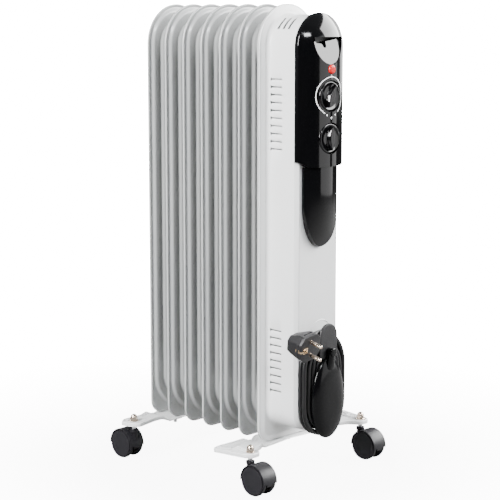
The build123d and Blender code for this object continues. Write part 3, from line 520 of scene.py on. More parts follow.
def make_section_mesh():
    """One hollow section: rolled rim, web, stepped channel, bosses and centre panel."""
    places = stations()
    shapes = []
    for face_side in (-1, 1):
        rings = []
        for inset, half in BEAD:
            rings.append([(x, face_side * half, z) for x, z in (rim_point(s, inset) for s in places)])
        for inset, half in STEP + [(d, FACE_HALF) for d in INNER]:
            ring = []
            for s in places:
                x, z = channel_point(s, inset)
                ring.append((x, face_side * face_height(x, z, half), z))
            rings.append(ring)
        shapes.append(strips(rings))
    return mesh_from("section", *joined(*shapes), 60.0)


def make_sections():
    """The seven sections share one mesh."""
    mesh = make_section_mesh()
    for number in range(1, SECTIONS + 1):
        piece = linked(f"section_{number}", mesh)
        piece.location.y = (SECTIONS - number) * PITCH * MM
        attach(piece, "heater")
        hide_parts(f"fin_{number}")
    # The sections take the darker copy of the enamel: painted shade between the fins.
    mesh.materials.append(SHADED_SECTION_ENAMEL)


def make_hubs():
    """Hub collars between the sections, with a weld bead at each end, and the rear caps."""
    bead = [(20.0, 10.0), (23.2, 10.0), (23.3, 10.5), (22.5, 11.2), (22.0, 11.7)]
    profile = bead + [(radius, PITCH - along) for radius, along in reversed(bead)]
    cap = [(20.0, 10.0), (23.0, 10.0), (23.0, 10.6), (22.2, 11.3), (22.0, 12.2), (21.2, 13.2)]
    cap += [(19.0, 14.2), (15.0, 14.8), (12.0, 15.0), (0.3, 15.0)]
    collars, caps = [], []
    for z in (HUB_LOW, ARC_Z):
        collars += [turned(profile, 64, (0, number * PITCH, z)) for number in range(SECTIONS - 1)]
        caps.append(turned(cap, 64, (0, (SECTIONS - 1) * PITCH, z)))
    for name, shapes, node in (
        ("hub_collars", collars, "hub_rings"), ("rear_caps", caps, "rear_hub_caps"),
    ):
        mesh = mesh_from(name, *joined(*shapes), 45.0)
        # The hub collars and rear caps take the darker copy of the enamel too: painted shade.
        mesh.materials.append(SHADED_SECTION_ENAMEL)
        new_piece(name, mesh, "enamel", node)


# ---- control housing ----------------------------------------------------------------
HOUSING_HALF = 41.0
HOUSING_BOTTOM = 66.0
HOUSING_CORNER = 27.0
HOUSING_FRONT = -56.5
BAND = 4.0
SHEET = 1.2
FLANGE_FRONT = -3.1
FLANGE_DISH_Y = -5.6
FLARE_R = 5.0
VENT_HALF = 0.75
VENT_LIP = 1.9
VENT_REAR, VENT_FRONT = -10.0, -30.0
VENT_CENTRES = [118.0 + 10.2 * i for i in range(9)] + [439.0 + 10.0 * i for i in range(10)]
VENT_DEPTH = 0.75
SLOT_YS = (-16.5, -25.5, -34.5)
SLOT_HALF = 1.6
SLOT_START, SLOT_END = 33.0, 64.0
ARC_STEPS = 48
# the cover's front is open behind the panel: half width, low edge and corner radius
WINDOW = (33.0, 432.0, 6.0)
EMBOSS_X, EMBOSS_Z = 6.5, 192.5
PLAIN_HEIGHTS = [104.0, 225.0, 275.0, 325.0, 375.0, 420.0, 540.0, 555.0]
VENT_EDGES = (-VENT_LIP, -VENT_HALF, VENT_HALF, VENT_LIP)
HEIGHTS = sorted(PLAIN_HEIGHTS + [z + edge for z in VENT_CENTRES for edge in VENT_EDGES])


def upright(half, bottom, corner, squash=False):
    """Outline in X and Z: flat sides, full round top, round low corners, flat bottom."""
    low = bottom + corner
    heights = HEIGHTS
    if squash:
        foot = HEIGHTS[0] - 10
        span = (ARC_Z - low) / (ARC_Z - foot)
        heights = [low + (z - foot) * span for z in HEIGHTS]
    core = half - corner
    points = [(half, low)] + [(half, z) for z in heights]
    points += arc(0, ARC_Z, half, 0, 180, ARC_STEPS)
    points += [(-half, z) for z in reversed(heights)] + [(-half, low)]
    points += arc(-core, low, corner, 180, 270, 12)[1:]
    points += [(core * t, bottom) for t in (-0.5, 0, 0.5)]
    points += arc(core, low, corner, 270, 360, 12)[:-1]
    return points


def housing_outline(inset):
    """Outline of the housing's box, moved in by an inset."""
    return upright(HOUSING_HALF - inset, HOUSING_BOTTOM + inset, HOUSING_CORNER - inset)


def flange_outline(inset):
    """Outline of the flange, which has the shape of a section."""
    return upright(FIN_HALF - inset, FIN_BOTTOM + inset, max(CORNER_R - inset, 2.0))


def housing_rings():
    """Outlines of the cover from the flange's lip to the window in its front, with their Y."""
    lip = ((0.0, SHEET), (0.0, 0.4), (0.15, 0.12), (0.5, 0.0), (2.4, 0.0), (3.4, -0.35))
    rings = [(flange_outline(inset), FLANGE_FRONT + rise) for inset, rise in lip]
    rings += [(flange_outline(7.4), FLANGE_DISH_Y + 0.4), (flange_outline(8.6), FLANGE_DISH_Y)]
    for k in range(9):
        a = pi / 2 * k / 8
        y = FLANGE_DISH_Y - FLARE_R * (1 - cos(a))
        rings.append((housing_outline(FLARE_R * (sin(a) - 1)), y))
    ys = {FLANGE_DISH_Y - FLARE_R - 0.6, -11.6, -14.0, -20.0, -26.0, VENT_FRONT, -31.5, -40.0, -48.0}
    for y in SLOT_YS:
        ys |= {y - SLOT_HALF, y + SLOT_HALF}
    rings += [(housing_outline(0.0), y) for y in sorted(ys, reverse=True)]
    band = (
        (0.0, BAND + 1.0), (0.45, BAND + 0.55), (0.05, BAND + 0.1), (BAND - 0.1, 0.05),
        (BAND + 0.55, 0.45), (BAND + 1.0, 0.0),
    )
    rings += [(housing_outline(inset), HOUSING_FRONT + back) for inset, back in band]
    rings.append((upright(*WINDOW, squash=True), HOUSING_FRONT))
    return rings


def in_slot(corner, opposite):
    """True for a cell of the grid that is an opening: a vent in a side or a slot in a shoulder."""
    x, y, z = ((a + b) / 2 for a, b in zip(corner, opposite))
    if abs(x) > HOUSING_HALF - 1 and VENT_FRONT < y < VENT_REAR:
        reach = VENT_LIP if y > -11.7 else VENT_HALF
        return any(abs(z - c) < reach for c in VENT_CENTRES)
    on_shoulder = SLOT_START < degrees(atan2(z - ARC_Z, abs(x))) < SLOT_END
    return on_shoulder and any(abs(y - c) < SLOT_HALF for c in SLOT_YS)


def pressed(x, y, z):
    """Pushes the lips of a vent in, so that each one is a shallow pressing."""
    if abs(x) < HOUSING_HALF - 0.01 or not VENT_FRONT + 0.1 < y < VENT_REAR - 0.1:
        return x, y, z
    near = min(abs(z - c) for c in VENT_CENTRES)
    depth = VENT_DEPTH if near < VENT_HALF + 0.1 else 0.0
    return x - copysign(depth, x), y, z


def make_housing():
    """Pressed cover with a dished flange, flared sides, vents, top slots and an edge band."""
    rings = housing_rings()
    points, faces = strips([[pressed(x, y, z) for x, z in outline] for outline, y in rings])
    kept = [face for face in faces if not in_slot(points[face[0]], points[face[2]])]
    mesh = thickened(mesh_from("control_housing_cover", points, kept, 40.0), SHEET)
    new_piece("housing_cover", shade(mesh, 40.0), "enamel", "control_housing")


def make_emboss():
    """Low round pressing in the housing front, behind the winder."""
    profile = [(21.0, 0.3), (20.7, -0.4), (20.2, -0.75), (19.7, -0.4), (19.4, 0.3)]
    points, faces = turned(profile, 96, (EMBOSS_X, HOUSING_FRONT, EMBOSS_Z))
    open_ring = faces[:-2]
    new_piece("housing_emboss", mesh_from("housing_emboss", points, open_ring), "enamel")


# ---- control panel ------------------------------------------------------------------
PANEL_HALF = 43.5
PANEL_BACK, PANEL_EDGE, PANEL_FRONT = -52.5, -60.0, -78.0
PANEL_WALL = 2.2
PANEL_LOW, PANEL_STEP = 417.6, 424.6
PANEL_STEPS = 20
TONGUE_HALF = 32.5
GRIP_Z = 583.0
GRIP_HALF, GRIP_DROP = 27.0, 35.0
RECESS_RIM = 1.3
RECESS_DEPTH = 11.0
# size of the recess's walls and floor as a share of the opening
RECESS_WALL, RECESS_FLOOR = 0.985, 0.99
RECESS_ROWS, RECESS_COLUMNS = 24, 16
# opening for the catch, as (x, z): left part, round tongue (x, z, radius) and right part
CATCH = [(-19.5, 582.8), (-19.5, 575.2), (-9.6, 574.2)]
CATCH_TONGUE = (-4.6, 572.4, 3.4)
CATCH_RIGHT = [(-1.0, 577.2), (18.2, 581.7), (18.2, 582.8)]
LAMP_Z = 542.0
LAMP_HOLE_R = 6.25
THERMOSTAT_Z = 508.0
SWITCH_Z = 454.0
WELL_R = 20.3
WELL_FLOOR = -70.0
CUT_FRONT, CUT_BACK = -90, -60


def bow(r, half, edge, front):
    """Y of a bowed front at a distance from its middle line."""
    rise = edge - front
    radius = (half * half + rise * rise) / (2 * rise)
    return front + radius - sqrt(max(radius * radius - r * r, 0.0))


def panel_y(r):
    """Y of the upper panel's front."""
    return bow(min(abs(r), PANEL_HALF - 1), PANEL_HALF - 1, PANEL_EDGE, PANEL_FRONT)


def panel_profile():
    """Half profile of the panel from its back edge to the middle, as (distance, y)."""
    profile = [(42.2, PANEL_BACK), (42.2, PANEL_BACK - 1.5), (PANEL_HALF, PANEL_BACK - 1.9)]
    profile += [(PANEL_HALF, -58.2), (PANEL_HALF - 0.12, -58.9), (PANEL_HALF - 0.45, -59.5)]
    profile += [(r, panel_y(r)) for r in [PANEL_HALF - 1 - 2.5 * k for k in range(17)] + [0.0]]
    return profile


def panel_low(r):
    """Lowest Z of the panel: a tab in the middle and slanted shoulders."""
    share = max(0.0, (r - TONGUE_HALF) / (PANEL_HALF - TONGUE_HALF))
    return PANEL_LOW + share * (PANEL_STEP - PANEL_LOW)


def panel_ring(r, y, low):
    """One line of the panel: up a side, over the round top and down the other side."""
    heights = [low + (ARC_Z - low) * k / PANEL_STEPS for k in range(PANEL_STEPS)]
    ring = [(-r, y, z) for z in heights]
    ring += at_y(reversed(arc(0, ARC_Z, r, 0, 180, 64)), y)
    ring += [(r, y, z) for z in reversed(heights)]
    return ring


def bowed_shell(profile, ring, wall):
    """Closed shell: outer lines through a profile, inner lines moved in by the wall."""
    inner = [(max(r - wall, 0.0), min(y + wall, PANEL_BACK)) for r, y in reversed(profile)]
    lines = [ring(r, y) for r, y in profile + inner]
    lines.append(lines[0])
    points, faces = strips(lines, closed=False)
    count = len(lines[0])
    for end in (0, count - 1):
        faces.append(tuple(i * count + end for i in range(len(lines) - 1)))
    return points, faces


def recess_outline(grow=0.0):
    """Half-elliptical finger opening with a straight top."""
    half, drop = GRIP_HALF + grow, GRIP_DROP + grow
    round_part = [pi + pi * k / 48 for k in range(49)]
    points = [(half * cos(a), GRIP_Z + drop * sin(a)) for a in round_part]
    return points + [(half * k / 8, GRIP_Z) for k in range(7, -8, -1)]


def make_panel():
    """Bowed gloss moulding with a finger recess, lamp hole and two wells."""
    shell = bowed_shell(panel_profile(), lambda r, y: panel_ring(r, y, panel_low(r)), PANEL_WALL)
    mesh = mesh_from("control_panel_shell", *shell, 40.0)
    cutters = [mesh_from("recess", *slab(recess_outline(), CUT_FRONT, PANEL_BACK + 7.5))]
    for z in (THERMOSTAT_Z, SWITCH_Z):
        well = turned([(WELL_R, CUT_FRONT), (WELL_R, CUT_BACK)], 96, (0, 0, z))
        cutters.append(mesh_from("well", *well))
    lamp_hole = turned([(LAMP_HOLE_R, CUT_FRONT), (LAMP_HOLE_R, CUT_BACK)], 48, (0, 0, LAMP_Z))
    mesh = carved(mesh, *cutters, mesh_from("lamp_hole", *lamp_hole))
    mesh = modified(
        mesh, "BEVEL", width=0.35 * MM, segments=2, limit_method="ANGLE", angle_limit=radians(50),
        harden_normals=False,
    )
    new_piece("panel_shell", shade(mesh, 32.0), "black_gloss", "control_panel")


def scoop_y(x, z):
    """Y of the recess floor: a plane leaning back from the lip, never in front of the rim."""
    share = 1.0 - (GRIP_Z - z) / GRIP_DROP
    return max(PANEL_FRONT + RECESS_RIM + RECESS_DEPTH * share, panel_y(x) + RECESS_RIM)


def make_recess():
    """Rim, leaning floor and dark catch of the finger recess."""
    outline = recess_outline(0.15)
    front = [(x, panel_y(x) + 0.35, z) for x, z in outline]
    inside = [(x * RECESS_WALL, GRIP_Z - (GRIP_Z - z) * RECESS_WALL) for x, z in outline]
    lip = [(x, panel_y(x) + RECESS_RIM, z) for x, z in inside]
    foot = [(x, scoop_y(x, z) + 0.3, z) for x, z in inside]
    walls = strips([front, lip, foot])
    rows = []
    for k in range(RECESS_ROWS + 1):
        z = GRIP_Z - GRIP_DROP * RECESS_WALL * (1 - k / RECESS_ROWS) ** 1.5
        fallen = (GRIP_Z - z) / (GRIP_DROP * RECESS_FLOOR)
        half = GRIP_HALF * RECESS_FLOOR * sqrt(max(1.0 - fallen**2, 0.0))
        columns = range(-RECESS_COLUMNS, RECESS_COLUMNS + 1)
        across = [sin(pi / 2 * a / RECESS_COLUMNS) * half for a in columns]
        rows.append([(x, scoop_y(x, z), z) for x in across])
    floor = thickened(mesh_from("recess_floor", *strips(rows, closed=False), 30.0), 1.0)
    hole = CATCH + arc(*CATCH_TONGUE, 180, 360, 12) + CATCH_RIGHT
    floor = carved(floor, mesh_from("catch", *slab(hole, -80, -55)))
    new_piece("finger_recess", shade(floor, 30.0), "black_gloss")
    new_piece("recess_rim", mesh_from("recess_rim", *walls, 30.0), "black_gloss")
    mouth = [(x, scoop_y(x, z) + 0.3, z) for x, z in hole]
    pocket = strips([mouth, at_y(hole, -60.0)], cap_last=True)
    new_piece("recess_catch", mesh_from("recess_catch", *pocket), "black_matt")


def make_wells():
    """Round wells behind the knobs, with a seat for each shaft."""
    shapes = []
    for z in (THERMOSTAT_Z, SWITCH_Z):
        mouth = [(x, panel_y(x) + 0.4, h) for x, h in arc(0, z, WELL_R + 0.1, 0, 360, 96)[:-1]]
        rings = [mouth]
        for radius, rise in ((WELL_R + 0.1, 0.6), (WELL_R - 0.5, 0.0), (3.8, 0.0)):
            rings.append(at_y(arc(0, z, radius, 0, 360, 96)[:-1], WELL_FLOOR - rise))
        shapes.append(strips(rings))
    new_piece("knob_wells", mesh_from("knob_wells", *joined(*shapes)), "black_gloss")


def printed(name, centre_z, inner, outer, start, end, steps=64):
    """Thin printed arc that follows the panel's bowed front."""
    rows = [arc(0, centre_z, radius, start, end, steps) for radius in (outer, inner)]
    rings = [[(x, panel_y(x) - 0.06, z) for x, z in row] for row in rows]
    return strips(rings, closed=False)


def make_print():
    """White scale ring round the thermostat knob and the plain marks at both knobs."""
    shapes = [printed("ring", THERMOSTAT_Z, 23.7, 25.0, -58, 243)]
    for angle in (-72, -108):
        shapes.append(printed("dot", THERMOSTAT_Z, 24.6, 26.4, angle - 2.2, angle + 2.2, 6))
    shapes.append(printed("mark", SWITCH_Z, 24.2, 27.4, 88.4, 91.6, 4))
    mesh = mesh_from("scale_print", *joined(*shapes))
    mesh.materials.append(PRINT_WHITE)
    mesh = modified(mesh, "SOLIDIFY", thickness=0.08 * MM, offset=0.0)
    new_piece("scale_print", mesh, "white_plastic")


TONGUE_TOP, TONGUE_ROUND_Z, TONGUE_BOTTOM = 417.0, 369.0, 311.0
TONGUE_BACK, TONGUE_EDGE, TONGUE_FRONT = -56.7, -60.5, -75.0


def tongue_line(inset):
    """Outline of the tongue without its top edge, moved in by an inset."""
    half = TONGUE_HALF - inset
    drop = TONGUE_ROUND_Z - TONGUE_BOTTOM - inset
    heights = [TONGUE_TOP - (TONGUE_TOP - TONGUE_ROUND_Z) * k / 10 for k in range(10)]
    line = [(-half, z) for z in heights]
    for k in range(65):
        a = pi + pi * k / 64
        line.append((half * cos(a), TONGUE_ROUND_Z + drop * sin(a)))
    return line + [(half, z) for z in reversed(heights)]


def tongue_y(x, z):
    """Y of the tongue's front: bowed across, and falling back towards its round end."""
    y = bow(min(abs(x), TONGUE_HALF - 1), TONGUE_HALF - 1, TONGUE_EDGE, TONGUE_FRONT)
    t = max(0.0, min(1.0, (z - TONGUE_BOTTOM) / (TONGUE_ROUND_Z + 14 - TONGUE_BOTTOM)))
    share = sin(pi / 2 * t) ** 0.8
    return TONGUE_EDGE + (y - TONGUE_EDGE) * share


def make_tongue():
    """Long gloss cover under the panel."""
    lines = [at_y(tongue_line(inset), y) for inset, y in (
        (1.0, TONGUE_BACK), (1.0, TONGUE_BACK - 0.9), (0.0, TONGUE_BACK - 1.2),
        (0.0, TONGUE_EDGE + 1.6), (0.12, TONGUE_EDGE + 0.9), (0.5, TONGUE_EDGE + 0.3),
    )]
    for inset in [1.0, 1.6, 2.4, 3.6] + [5.0 + 2.0 * k for k in range(14)] + [TONGUE_HALF - 0.02]:
        lines.append([(x, tongue_y(x, z), z) for x, z in tongue_line(inset)])
    mesh = thickened(mesh_from("panel_tongue", *strips(lines, closed=False), 40.0), 1.8)
    new_piece("tongue_shell", shade(mesh, 35.0), "black_gloss", "panel_tongue")


# ---- lamp and knobs -----------------------------------------------------------------
KNOB_R = 19.6
KNOB_BACK, KNOB_FACE, RIDGE = -70.6, -76.4, -81.3
KNOB_STEPS = 128
GRIP_HALF_W = 6.0
GRIP_ARC_R = 25.0
THERMOSTAT_TURN = 25.0


def make_lamp():
    """Domed red lens with a collar."""
    profile = [
        (6.6, -71.6), (6.6, -73.3), (6.0, -73.4), (6.0, -78.2), (5.85, -79.0), (5.4, -79.7),
        (4.6, -80.15), (3.2, -80.4), (1.6, -80.5), (0.4, -80.5),
    ]
    mesh = mesh_from("lamp_lens", *turned(profile, 64, (0, 0, LAMP_Z)))
    new_piece("lamp_lens", mesh, "lamp_red", "pilot_lamp")


def lens_radius(angle):
    """Distance from the middle of the pointed oval grip to its edge at an angle from its width."""
    c, s = abs(cos(angle)), abs(sin(angle))
    offset = GRIP_ARC_R - GRIP_HALF_W
    return -offset * c + sqrt(GRIP_ARC_R**2 - (offset * s) ** 2)


def make_knob(name, z, turn, body, node):
    """Round knob: turned rim, sunk face and a raised pointed oval grip."""
    c, s = cos(radians(turn)), sin(radians(turn))

    def ring(radius_at, y, wide=1.0, long=1.0):
        out = []
        for a in circle(KNOB_STEPS):
            x, h = wide * radius_at(a) * cos(a), long * radius_at(a) * sin(a)
            out.append((x * c + h * s, y, z - x * s + h * c))
        return out

    rings = [ring(lambda a, r=r: r, y) for r, y in (
        (3.3, KNOB_BACK), (18.6, KNOB_BACK), (19.3, KNOB_BACK - 0.3), (KNOB_R, KNOB_BACK - 0.9),
        (KNOB_R, KNOB_FACE + 2.6), (19.45, KNOB_FACE + 1.6), (19.0, KNOB_FACE + 0.8),
        (18.3, KNOB_FACE + 0.25), (17.4, KNOB_FACE), (16.9, KNOB_FACE + 0.1), (16.5, KNOB_FACE + 0.4),
    )]
    for share, y in ((0.5, KNOB_FACE + 0.65), (0.05, KNOB_FACE + 0.55)):
        rings.append(ring(lambda a, t=share: lens_radius(a) * (1 - t) + 16.5 * t, y))
    rings += [ring(lens_radius, y, wide, long) for wide, long, y in (
        (1.0, 1.0, KNOB_FACE + 0.2), (0.955, 0.985, KNOB_FACE - 0.5), (0.87, 0.965, KNOB_FACE - 2.2),
        (0.78, 0.945, RIDGE + 0.9), (0.73, 0.93, RIDGE + 0.3), (0.64, 0.90, RIDGE),
        (0.34, 0.5, RIDGE + 0.12),
    )]
    mesh = mesh_from(name, *strips(rings, cap_last=True), 40.0)
    new_piece(name, mesh, "black_gloss", node, body=body)


# ---- cord winder --------------------------------------------------------------------
WINDER_Z = 127.0
WINDER_RUN = 26.0
CORE_R = 20.0
PLATE_R = 30
LIP_BACK = -73.8
TAB_HALF = 17.0
TAB_LOW, TAB_HIGH = 165, 211
TAB_FRONT = -77.0
EGG_HALF = 31.0
EGG_LOW, EGG_Z, EGG_HIGH = 57.0, 105.0, 167.0
EGG_RIM, EGG_FRONT = -76.0, -84.0
DOME_STEPS = 24
HEAD_R, HEAD_Z, HEAD_FRONT = 5.5, 174.0, -86.5


def stadium(radius, half_run, steps=24):
    """Upright stadium outline about the middle of the winder."""
    top = arc(0, WINDER_Z + half_run, radius, 0, 180, steps)
    return top + arc(0, WINDER_Z - half_run, radius, 180, 360, steps)


def paddle(inset):
    """Outline of the winder's upper tab, moved in by an inset."""
    half = TAB_HALF - inset
    low = TAB_LOW + inset
    return arc(0, TAB_HIGH - TAB_HALF, half, 0, 180, 32) + [(-half, low), (half, low)]


def make_winder_base():
    """Back plate, oval core and upper tab of the cord winder."""
    radii = (PLATE_R - 0.4, PLATE_R, PLATE_R, PLATE_R - 0.6)
    plate = rounded_slab([stadium(r, 30) for r in radii], (-56.7, -57.0, -59.1, -59.7))
    radii = (CORE_R + 0.6, CORE_R, CORE_R)
    core = rounded_slab([stadium(r, WINDER_RUN) for r in radii], (-59.7, -60.6, LIP_BACK))
    edge = (
        (0.9, LIP_BACK), (0.25, LIP_BACK - 0.25), (0.0, LIP_BACK - 0.9), (0.0, TAB_FRONT + 1.0),
        (0.25, TAB_FRONT + 0.4), (0.9, TAB_FRONT + 0.1), (2.4, TAB_FRONT),
    )
    tab = solid([at_y(paddle(inset), y) for inset, y in edge])
    mesh = mesh_from("winder_base", *joined(plate, core, tab), 40.0)
    new_piece("winder_reel", mesh, "black_matt", "winder_base")


def egg(size):
    """Egg outline of the lower lip, scaled about its widest line."""
    points = []
    for a in circle(96):
        tall = EGG_HIGH - EGG_Z if sin(a) > 0 else EGG_Z - EGG_LOW
        points.append((EGG_HALF * size * cos(a), EGG_Z + tall * size * sin(a)))
    return points


def make_winder_front():
    """Domed egg-shaped lip, its neck and the round head on the tab."""
    rings = [at_y(egg(size), y) for size, y in (
        (0.90, LIP_BACK), (0.985, LIP_BACK), (1.0, LIP_BACK - 0.4), (1.0, EGG_RIM),
    )]
    for k in range(1, DOME_STEPS + 1):
        a = pi / 2 * (k / DOME_STEPS)
        size = max(cos(a) ** 0.62, 0.012)
        rings.append(at_y(egg(size), EGG_RIM + (EGG_FRONT - EGG_RIM) * sin(a) ** 1.15))
    dome = solid(rings)
    rings = []
    for z, half, rise in (
        (146.0, 9.5, 2.6), (152.0, 8.2, 1.1), (158.0, 6.9, -0.1), (164.0, 6.0, -1.0), (170.0, 5.4, -1.7),
        (176.0, 5.0, -1.8),
    ):
        ring = []
        for k in range(17):
            a = pi * k / 16
            ring.append((half * cos(a), EGG_FRONT + rise + 3.0 * (1 - sin(a)), z))
        rings.append(ring + [(-half, TAB_FRONT + 0.4, z), (half, TAB_FRONT + 0.4, z)])
    neck = solid(rings)
    profile = [
        (HEAD_R - 0.3, TAB_FRONT + 0.3), (HEAD_R, TAB_FRONT - 0.2), (HEAD_R, HEAD_FRONT + 1.3),
        (5.2, HEAD_FRONT + 0.6), (4.6, HEAD_FRONT + 0.15), (3.6, HEAD_FRONT), (0.3, HEAD_FRONT),
    ]
    head = turned(profile, 48, (0, 0, HEAD_Z))
    profile = [
        (1.3, LIP_BACK + 1), (1.3, LIP_BACK - 3.2), (1.0, LIP_BACK - 3.9), (0.2, LIP_BACK - 4.0),
    ]
    post = turned(profile, 24, (-17.5, 0, 152.0))
    mesh = mesh_from("winder_front", *joined(dome, neck, head, post), 40.0)
    mesh.materials.append(WINDER_BLACK)
    new_piece("winder_lip", mesh, "black_gloss", "winder_front")


# ---- cord ---------------------------------------------------------------------------
CORD_D = 6.4
# radius, Y and sideways shift of each turn of the winding
TURN_R = [23.5, 23.5, 30.9, 30.9, 38.3, 38.3]
TURN_Y = [-63.3, -69.7, -69.7, -63.3, -63.3, -69.7]
TURN_SHIFT = [0.0, 0.0, -0.9, -0.9, -1.8, -1.8]
CORD_START = [(-15.2, -63.4, 146.0), (-16.0, -63.3, 137.0), (-20.5, -63.3, 125.0)]
TURN_STEPS, FIRST_STEP, LAST_STEP = 28, 5, 19
TAIL = [
    (36.5, -69.7, 142.6), (36.5, -69.7, 163.2), (27.7, -69.7, 181.8), (11.9, -69.7, 195.4),
    (-7.5, -69.9, 202.0), (-24.0, -70.9, 199.0),
]


def turn_point(number, share):
    """Point on a turn of the winding: down the left, along the bottom, up the right, over the top."""
    after = min(number + 1, len(TURN_R) - 1)
    change = smoothstep(0.62, 1.0, share)
    radius, y, shift = (
        row[number] + (row[after] - row[number]) * change for row in (TURN_R, TURN_Y, TURN_SHIFT)
    )
    run = 2 * WINDER_RUN
    half_round = pi * radius
    along = share * 2 * (run + half_round)
    low, high = WINDER_Z - WINDER_RUN, WINDER_Z + WINDER_RUN
    if along < run:
        return shift - radius, y, high - along
    if along < run + half_round:
        a = pi + (along - run) / radius
        return shift + radius * cos(a), y, low + radius * sin(a)
    if along < 2 * run + half_round:
        return shift + radius, y, low + along - run - half_round
    a = (along - 2 * run - half_round) / radius
    return shift + radius * cos(a), y, high + radius * sin(a)


def cord_points():
    """Control points of the whole cord: start in the reel, six turns and the tail to the plug."""
    points = list(CORD_START)
    for number in range(len(TURN_R)):
        first = FIRST_STEP if number == 0 else 0
        last = LAST_STEP if number == len(TURN_R) - 1 else TURN_STEPS
        points += [turn_point(number, k / TURN_STEPS) for k in range(first, last)]
    return points + TAIL


def make_cord():
    """Mains cord wound on the reel, with its end leading to the plug."""
    data = bpy.data.curves.new("mains_cord", "CURVE")
    data.dimensions = "3D"
    data.bevel_depth = CORD_D / 2 * MM
    data.bevel_resolution = 5
    data.resolution_u = 6
    data.use_fill_caps = True
    route = cord_points()
    spline = data.splines.new("NURBS")
    spline.points.add(len(route) - 1)
    for point, where in zip(spline.points, route):
        point.co = (*place(*where), 1.0)
    spline.order_u = 3
    spline.use_endpoint_u = True
    data.materials.append(FINISH["cord_black"])
    cord = linked("mains_cord", data)
    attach(cord, "heater")
    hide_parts("cord_winding", "cord_tail")
    return cord


# ---- plug, drawn with its face at Y 0 and its pins along -Y ---------------------------
PLUG_AT = Matrix.Translation((-51.5, -91.0, 188.5)) @ Matrix.Rotation(radians(14), 4, "X")
PLUG_AT = PLUG_AT @ Matrix.Rotation(radians(-11), 4, "Y")
OUTLET_Y = 22.0
PIN_R = 2.4
PIN_SPREAD = 9.5
PIN_LENGTH = 19.0
EARTH_X, EARTH_R, EARTH_BORE = -10.0, 3.4, 2.4
EARTH_DEEP = 13.8
CORNER_REACH, CORNER_PULL = 0.16, 0.035
RIBS, RIB_START, RIB_END = 6, 11.4, 27.0
# octagons along the body: half width, half height, corner cut, sideways shift and Y
PLUG_RINGS = [
    (17.1, 17.1, 7.6, 0.0, 0.0), (17.95, 17.95, 7.9, 0.0, 0.25), (18.3, 18.3, 8.0, 0.0, 1.0),
    (18.3, 18.3, 8.0, 0.0, 3.4), (17.8, 17.8, 8.0, 0.0, 3.8), (17.8, 17.8, 8.0, 0.0, 4.9),
    (18.3, 18.3, 8.0, 0.0, 5.3), (17.9, 17.9, 8.0, -0.1, 11.2), (14.6, 15.2, 6.4, -2.9, 18.5),
    (11.2, 12.2, 5.0, -5.2, 26.0), (9.6, 10.6, 4.2, -5.4, 27.0),
]


def plug_place(x, y, z):
    """A point of the plug's own drawing in the row frame."""
    return place(*(PLUG_AT @ Vector((x, y, z))))


def facet_outline(half_x, half_z, cut, shift=0.0):
    """Octagon with softly rounded corners."""
    corners = [
        (half_x, cut - half_z), (half_x, half_z - cut), (half_x - cut, half_z),
        (cut - half_x, half_z), (-half_x, half_z - cut), (-half_x, cut - half_z),
        (cut - half_x, -half_z), (half_x - cut, -half_z),
    ]
    corners = [Vector(corner) for corner in corners]
    points = []
    for before, here, after in zip(corners[-1:] + corners[:-1], corners, corners[1:] + corners[:1]):
        for share in (-1.0, -0.5, 0.0, 0.5, 1.0):
            along = (after if share > 0 else before) - here
            inwards = (before + after) / 2 - here
            pull = CORNER_PULL * (1 - abs(share))
            point = here + along * CORNER_REACH * abs(share) + inwards * pull
            points.append((shift + point.x, point.y))
    return points


def make_plug():
    """Angled moulded plug body with facets, grooves and a side outlet."""
    body = solid([at_y(facet_outline(*shape), y) for *shape, y in PLUG_RINGS])
    outlet_profile = [(6.2, -6.0), (6.2, 9.6), (5.9, 10.5), (5.4, 11.0)]
    outlet = turned(outlet_profile, 40, (0, OUTLET_Y, 0), "x")
    mesh = mesh_from("plug_moulding", *joined(body, outlet), 30.0, plug_place)
    grooves = []
    for side in (-1, 1):
        low, high = side * 16.9, side * 19.5
        groove = slab([(-6.5, low), (7.5, low), (7.5, high), (-6.5, high)], 6.4, 8.0)
        grooves.append(mesh_from("groove", *groove, 30.0, plug_place))
    hole = turned([(EARTH_R, -1), (EARTH_R, EARTH_DEEP + 0.2)], 40, (EARTH_X, 0, 0))
    mesh = carved(mesh, *grooves, mesh_from("earth_hole", *hole, 30.0, plug_place))
    body_piece = new_piece("plug_moulding", shade(mesh, 30.0), "black_matt", "plug_body")
    return [body_piece, make_relief(), make_pins(), make_earth()]


def make_relief():
    """Ribbed strain relief between the plug and its cord."""
    profile = [(5.0, 10.6)]
    pitch = (RIB_END - RIB_START) / RIBS
    for k in range(RIBS):
        x = RIB_START + pitch * k
        outer, inner = 5.9 - 0.30 * k, 4.7 - 0.22 * k
        profile += [(outer - 0.25, x), (outer, x + 0.3), (outer, x + pitch * 0.52)]
        profile += [(outer - 0.25, x + pitch * 0.6), (inner, x + pitch * 0.68), (inner, x + pitch * 0.95)]
    profile += [(4.3, 27.3), (4.1, 28.0), (3.3, 28.0)]
    mesh = mesh_from("plug_relief", *turned(profile, 40, (0, OUTLET_Y, 0), "x"), 30.0, plug_place)
    return new_piece("relief_sleeve", mesh, "black_matt", "plug_relief")


def make_pins():
    """Two round pins with rounded ends and a sleeve seat."""
    profile = [(2.0, 1.0), (2.7, 0.4), (2.7, -0.25), (2.6, -0.3), (PIN_R, -0.35)]
    tip = ((PIN_R, 1.8), (2.2, 1.0), (1.7, 0.4), (0.9, 0.06), (0.15, 0.0))
    profile += [(r, back - PIN_LENGTH) for r, back in tip]
    shapes = [turned(profile, 40, (0, 0, z)) for z in (-PIN_SPREAD, PIN_SPREAD)]
    mesh = mesh_from("plug_pins", *joined(*shapes), 40.0, plug_place)
    return new_piece("contact_pins", mesh, "nickel", "plug_pins")


def ribbon(path, half_width, thickness):
    """Bent strip through (x, y) points, as wide as it is told along Z."""
    section = [(0, -half_width), (-thickness, -half_width), (-thickness, half_width), (0, half_width)]
    return solid([[(x, y + rise, z) for rise, z in section] for x, y in path])


